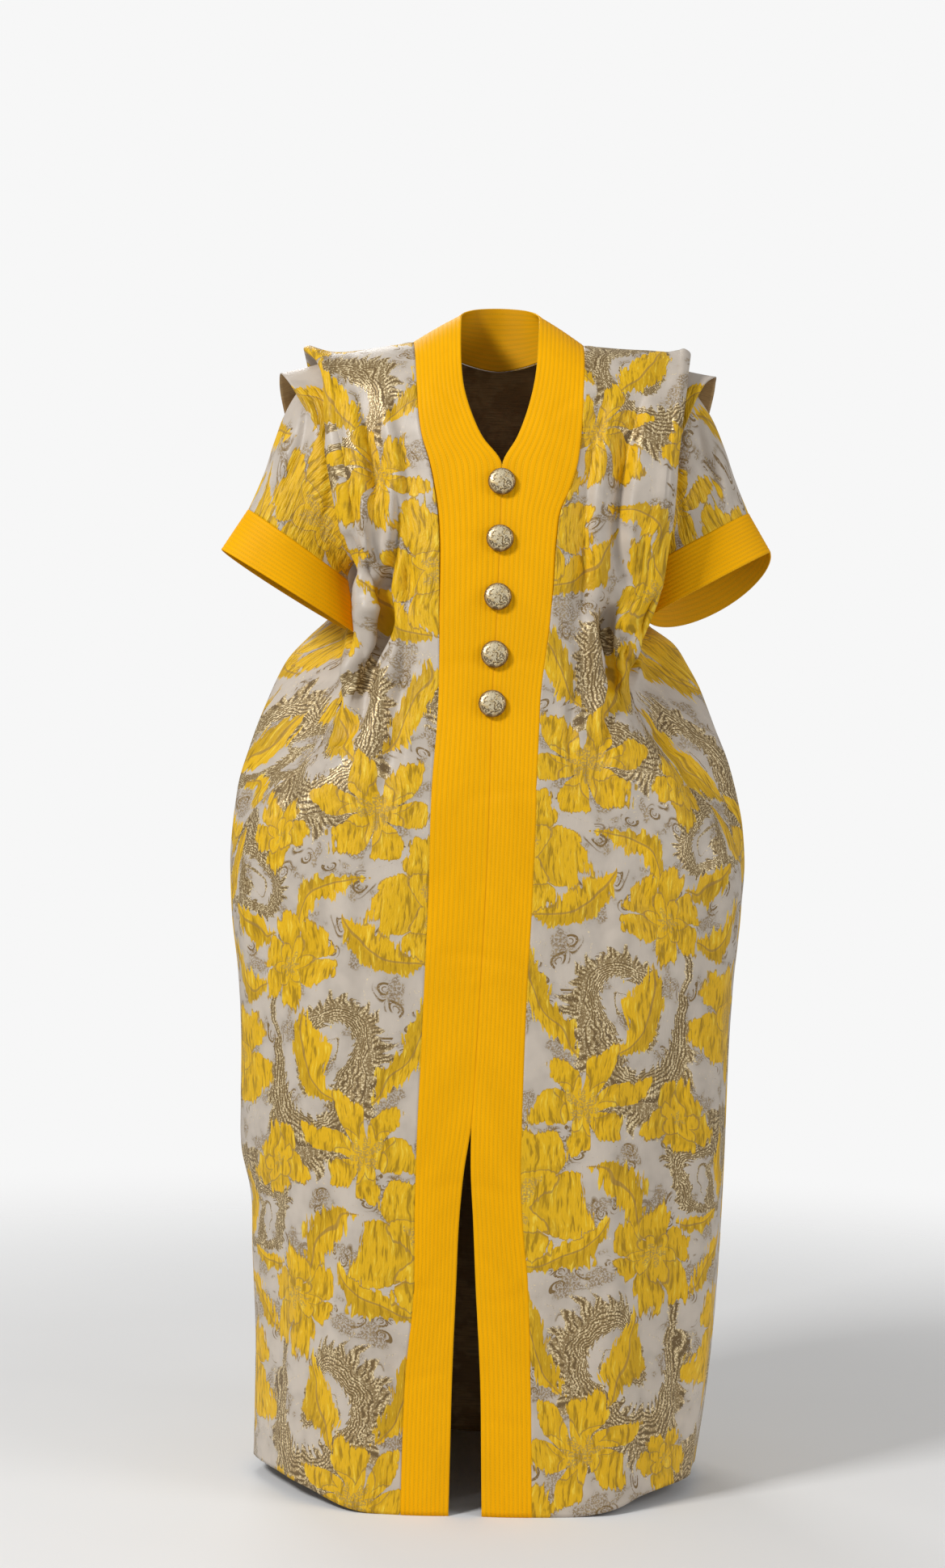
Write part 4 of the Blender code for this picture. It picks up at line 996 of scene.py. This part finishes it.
def sew_panel(node, columns, corner, outward, lie, hung=True, fine=True):
    """One open piece of brocade, which `lie` lays on the flat cloth. Only a hung one has creases."""
    sizes = bpy.context.scene.cloth_sizes
    cell = sizes.cell if fine else sizes.back_cell
    grid = refined(open_grid(node, columns, np.array(corner)), cell * 1.1, cell)
    flat = lie(grid) + CUT_FROM[node]
    normals = facing(grid, outward)
    shaped = grid
    if hung:
        shaped = creased(creased(grid, normals, FRONT_CREASES, -1), normals, BACK_CREASES, 1)
    sew(node, "brocade", shaped, flat, normals, *cut_size(grid, flat))


class OBJECT_OT_sew_fronts(bpy.types.Operator):
    """Sew the two front panels, with the folds they drop from the shoulders"""

    bl_idname = "object.sew_fronts"
    bl_label = "Sew Fronts"

    def execute(self, context):
        for node, side in (("front_right", -1), ("front_left", 1)):
            by_neck = (side * 0.1045, 0.010, 0.006)
            sew_panel(
                node, ACROSS["front"], by_neck, (0, -1, 0), lambda grid: plumb(grid, np.abs(grid[:, 0, 0]))
            )
        return {"FINISHED"}


class OBJECT_OT_sew_back(bpy.types.Operator):
    """Sew the back panel, which swells out at the sides"""

    bl_idname = "object.sew_back"
    bl_label = "Sew Back"

    def execute(self, context):
        on_shoulder = (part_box("shoulder_pleat_right")[0][0], 0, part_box("back")[1][2])
        sew_panel(
            "back", ACROSS["back"], on_shoulder, (0, 1, 0),
            lambda grid: plumb(grid, -lengths(grid[..., :2])[:, grid.shape[1] // 2]), fine=False,
        )
        return {"FINISHED"}


class OBJECT_OT_sew_pleats(bpy.types.Operator):
    """Lay the stacked pleats on the shoulders"""

    bl_idname = "object.sew_pleats"
    bl_label = "Sew Shoulder Pleats"

    def execute(self, context):
        for side in ("right", "left"):
            node = f"shoulder_pleat_{side}"
            low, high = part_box(node)
            by_neck = ((high if side == "right" else low)[0], low[1], high[2])
            sew_panel(
                node, ACROSS["shoulder_pleat"], by_neck, (0, 0, 1),
                lambda grid: grain(grid, np.zeros(len(grid))), hung=False,
            )
        return {"FINISHED"}


def puffs(u):
    """How far the padding stands out, or is stitched in, at distance u from a band's edge."""
    look = bpy.context.scene.band_look
    plump, sunk = 0.6, 0.6  # how boxy a puff is, and the share of its height that its seams lie in
    return look.puff * (np.abs(np.sin(math.pi * u / look.channel)) ** plump - sunk)


class OBJECT_OT_sew_sleeves(bpy.types.Operator):
    """Sew the short wide sleeves and their cuffs"""

    bl_idname = "object.sew_sleeves"
    bl_label = "Sew Sleeves"

    def execute(self, context):
        for side in ("right", "left"):
            self.sew_sleeve(f"sleeve_{side}")
            self.sew_cuff(f"cuff_{side}")
        return {"FINISHED"}

    def tube(self, node, along, across):
        """A tube's rings, their normals, and where they lie on the flat cloth."""
        grid = refined(ring_grid(node), along, across, ring=True)
        u = lengths(closed(grid)).mean(axis=0)
        down = norm(np.diff(grid, axis=0), axis=2).mean(axis=1)
        v = -np.concatenate([[0], down.cumsum()])
        return grid, facing(grid, None, ring=True), np.stack(np.broadcast_arrays(u, v[:, None]), axis=2)

    def sew_sleeve(self, node):
        """A sleeve, with the middle of its front laid where it is cut from."""
        cell = bpy.context.scene.cloth_sizes.cell * 0.8
        grid, normals, flat = self.tube(node, cell, cell)
        middle = len(grid) // 2
        flat = flat - flat[middle, grid[middle, :, 1].argmin()] + CUT_FROM[node]
        shaped = creased(creased(grid, normals, SLEEVE_CREASES, -1), normals, SLEEVE_CREASES, 1)
        sew(node, "brocade", shaped, flat, normals, *cut_size(grid, flat, ring=True), ring=True)

    def sew_cuff(self, node):
        """A cuff, padded between the stitch rows that run round it."""
        sizes = bpy.context.scene.cloth_sizes
        grid, normals, flat = self.tube(node, sizes.band_cell, sizes.cell * 0.8)
        shaped = grid + normals * puffs(flat[:, 0, 1])[:, None, None]
        sew(node, "yellow_band", shaped, flat[..., ::-1], normals, *cut_size(grid, flat, ring=True), ring=True)


class OBJECT_OT_sew_bands(bpy.types.Operator):
    """Sew the topstitched bands down the front and round the neck"""

    bl_idname = "object.sew_bands"
    bl_label = "Sew Bands"

    def execute(self, context):
        sizes, channel = context.scene.cloth_sizes, context.scene.band_look.channel
        for node, side in (("band_right", -1), ("band_left", 1), ("band_neck", 0)):
            low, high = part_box(node)
            if side:
                corner, outward = (side * 0.04, high[1], high[2]), (0, -1, 0)
            else:
                corner, outward = (low[0], low[1], high[2]), (0, 1, 0)
            grid = refined(open_grid(node, ACROSS["band"], np.array(corner)), sizes.band_rows, sizes.band_cell)
            flat = grain(grid, np.zeros(len(grid)))
            normals = facing(grid, outward)
            # a whole number of channels fits the width at every height
            wide = flat[:, -1:, 0]
            even = flat[..., 0] / wide * channel * np.round(wide.mean() / channel)
            shaped = creased(grid, normals, BAND_CREASES, -1) + normals * puffs(even)[..., None]
            lie = np.stack([even, flat[..., 1]], axis=2)
            sew(node, "yellow_band", shaped, lie, normals, *cut_size(grid, flat))
        return {"FINISHED"}


class OBJECT_OT_cover_buttons(bpy.types.Operator):
    """Cover the five domed buttons in brocade"""

    bl_idname = "object.cover_buttons"
    bl_label = "Cover Buttons"

    def execute(self, context):
        for number in range(1, 6):
            node = f"button_{number}"
            points = np.unique(np.array([v.co[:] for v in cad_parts[node].data.vertices]).round(6), axis=0)
            middle = points.mean(axis=0)
            axis = np.linalg.eigh(np.cov((points - middle).T))[1][:, 0]
            axis = -axis if axis[1] > 0 else axis
            rise = (points - middle) @ axis
            radius = norm(points - middle - rise[:, None] * axis, axis=1).max()
            piece = self.dome(f"{node}_cover", radius, np.ptp(rise))
            piece.data.transform(Vector((0, 0, 1)).rotation_difference(Vector(axis)).to_matrix().to_4x4())
            piece.data.transform(Matrix.Translation(Vector(middle + rise.min() * axis)))
            piece.data.materials.append(finish("button_cover"))
            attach(piece, "root")
            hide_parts(node)
        return {"FINISHED"}

    def dome(self, name, radius, height):
        """A covered button on its back: a turned-in rim, a rolled edge with small tucks, and a low dome."""
        look = bpy.context.scene.button_look
        spring, tuck = 0.44, 0.012  # where the dome starts, of the height, and a tuck's depth, of the radius
        profile = [(0.0, 0.0), (0.72, 0.0), (0.90, 0.05), (0.985, 0.17), (1.0, 0.30), (0.975, spring)]
        profile += [
            (math.cos(a) * 0.965, spring + (1 - spring) * math.sin(a)) for a in np.linspace(0.22, math.pi / 2, 16)
        ]
        mesh = bmesh.new()
        rings = []
        for r, z in profile:
            if r < WELD:
                rings.append([mesh.verts.new((0, 0, z * height))])
                continue
            ring = []
            for k in range(look.segments):
                a = 2 * math.pi * k / look.segments
                out = r * radius * (1 - tuck * (r > 0.9) * abs(math.sin(a * look.tucks / 2)))
                ring.append(mesh.verts.new((math.cos(a) * out, math.sin(a) * out, z * height)))
            rings.append(ring)
        for one, two in zip(rings, rings[1:]):
            for k in range(look.segments):
                quad = [one[k % len(one)], one[(k + 1) % len(one)], two[(k + 1) % len(two)], two[k % len(two)]]
                mesh.faces.new(list(dict.fromkeys(quad)))
        lies = mesh.loops.layers.uv.new("Cloth")
        for face in mesh.faces:
            for loop in face.loops:
                loop[lies].uv = loop.vert.co[:2]
        bmesh.ops.recalc_face_normals(mesh, faces=mesh.faces)
        data = bpy.data.meshes.new(name)
        mesh.to_mesh(data)
        mesh.free()
        data.shade_smooth()
        return stand(name, data)


# ---------------- stage


class SCENE_OT_set_robe_stage(bpy.types.Operator):
    """Set the camera, the floor and the lights"""

    bl_idname = "scene.set_robe_stage"
    bl_label = "Set Stage"

    def execute(self, context):
        look = context.scene.stage_look
        camera = stand("camera", bpy.data.cameras.new("camera"))
        camera.location = (-0.0205, -look.distance, -0.54)
        camera.rotation_euler = (math.radians(90), math.radians(-1.2), 0)
        camera.data.lens = camera.data.sensor_width * look.distance / look.view
        context.scene.camera = camera
        self.lay_floor(look)
        self.hang_lights(look)
        self.light_air(context.scene, look)
        return {"FINISHED"}

    def lay_floor(self, look):
        """A floor that fades into the bright studio round it, so that it has no edge from any side."""
        level = CAD_BOX[0][2]
        fade_from, fade_to = 0.75, 2.6
        f = Finish("floor")
        place = f.vector("SUBTRACT", f.node("NewGeometry"), (0, 0, level))
        paper = f.mix(f.noise(place, 3.0), tinted(look.floor, 0.97), look.floor)
        fade = f.between(f.vector("LENGTH", place, output=1), fade_from, fade_to)
        f.surface(fade, Base_Color=paper, Roughness=0.9, Specular_IOR_Level=0.2)
        mesh = bmesh.new()
        bmesh.ops.create_circle(
            mesh, cap_ends=True, segments=96, radius=look.floor_radius,
            matrix=Matrix.Translation((0, 0, level - 0.4 * MM)),
        )
        data = bpy.data.meshes.new("floor")
        mesh.to_mesh(data)
        mesh.free()
        data.materials.append(f.material)
        stand("floor", data)

    def hang_lights(self, look):
        """Three soft lights: a strong one over the right shoulder, and one before and one behind that fill it in."""
        for name, place, aim, size, power in (
            ("key", (-2.35, -2.1, 1.65), (0, 0, -0.6), 0.8, look.key),
            ("fill", (2.6, -1.4, 0.3), (0, 0, -0.6), 1.4, look.fill),
            ("back", (-0.9, 2.4, 1.6), (0, 0, -0.5), 1.2, look.fill),
        ):
            light = stand(name, bpy.data.lights.new(name, "AREA"))
            light.data.size, light.data.energy = size, power
            light.location = place
            light.rotation_euler = (Vector(aim) - Vector(place)).to_track_quat("-Z", "Y").to_euler()

    def light_air(self, scene, look):
        """White light from all sides, brighter where the camera sees it than where it falls on the robe."""
        scene.world = world = bpy.data.worlds.new("studio")
        world.use_nodes = True
        nodes, links = world.node_tree.nodes, world.node_tree.links
        air = nodes["Background"]
        air.inputs["Color"].default_value = (1, 1, 1, 1)
        seen = nodes.new("ShaderNodeLightPath")
        bright = nodes.new("ShaderNodeMapRange")
        bright.inputs["To Min"].default_value, bright.inputs["To Max"].default_value = look.glow, look.sky
        links.new(seen.outputs["Is Camera Ray"], bright.inputs["Value"])
        links.new(bright.outputs[0], air.inputs["Strength"])
        scene.view_settings.view_transform = "Standard"


class VIEW3D_PT_robe(bpy.types.Panel):
    """Steps that dress the robe, and the values they use"""

    bl_label = "Grand Boubou Robe"
    bl_idname = "VIEW3D_PT_robe"
    bl_space_type = "VIEW_3D"
    bl_region_type = "UI"
    bl_category = "Robe"

    def draw(self, context):
        for step in STEPS:
            self.layout.operator(step.bl_idname)
        for group in GROUPS:
            values = getattr(context.scene, group)
            self.layout.label(text=type(values).__name__)
            for key in type(values).__annotations__:
                self.layout.prop(values, key)


GROUPS = {
    "cloth_sizes": ClothSizes,
    "brocade_look": BrocadeLook,
    "band_look": BandLook,
    "button_look": ButtonLook,
    "stage_look": StageLook,
}
STEPS = [
    OBJECT_OT_sew_fronts, OBJECT_OT_sew_back, OBJECT_OT_sew_pleats, OBJECT_OT_sew_sleeves, OBJECT_OT_sew_bands,
    OBJECT_OT_cover_buttons, SCENE_OT_set_robe_stage,
]


def register():
    for group in GROUPS.values():
        bpy.utils.register_class(group)
    for step in STEPS + [VIEW3D_PT_robe]:
        bpy.utils.register_class(step)
    for name, group in GROUPS.items():
        setattr(bpy.types.Scene, name, PointerProperty(type=group))


def unregister():
    for name in GROUPS:
        delattr(bpy.types.Scene, name)
    for made in [VIEW3D_PT_robe] + STEPS[::-1] + list(GROUPS.values()):
        bpy.utils.unregister_class(made)


def main():
    """Dresses the whole robe."""
    register()
    bpy.ops.scene.set_robe_stage()
    bpy.ops.object.sew_fronts()
    bpy.ops.object.sew_back()
    bpy.ops.object.sew_pleats()
    bpy.ops.object.sew_sleeves()
    bpy.ops.object.sew_bands()
    bpy.ops.object.cover_buttons()


if __name__ == "__main__":
    main()
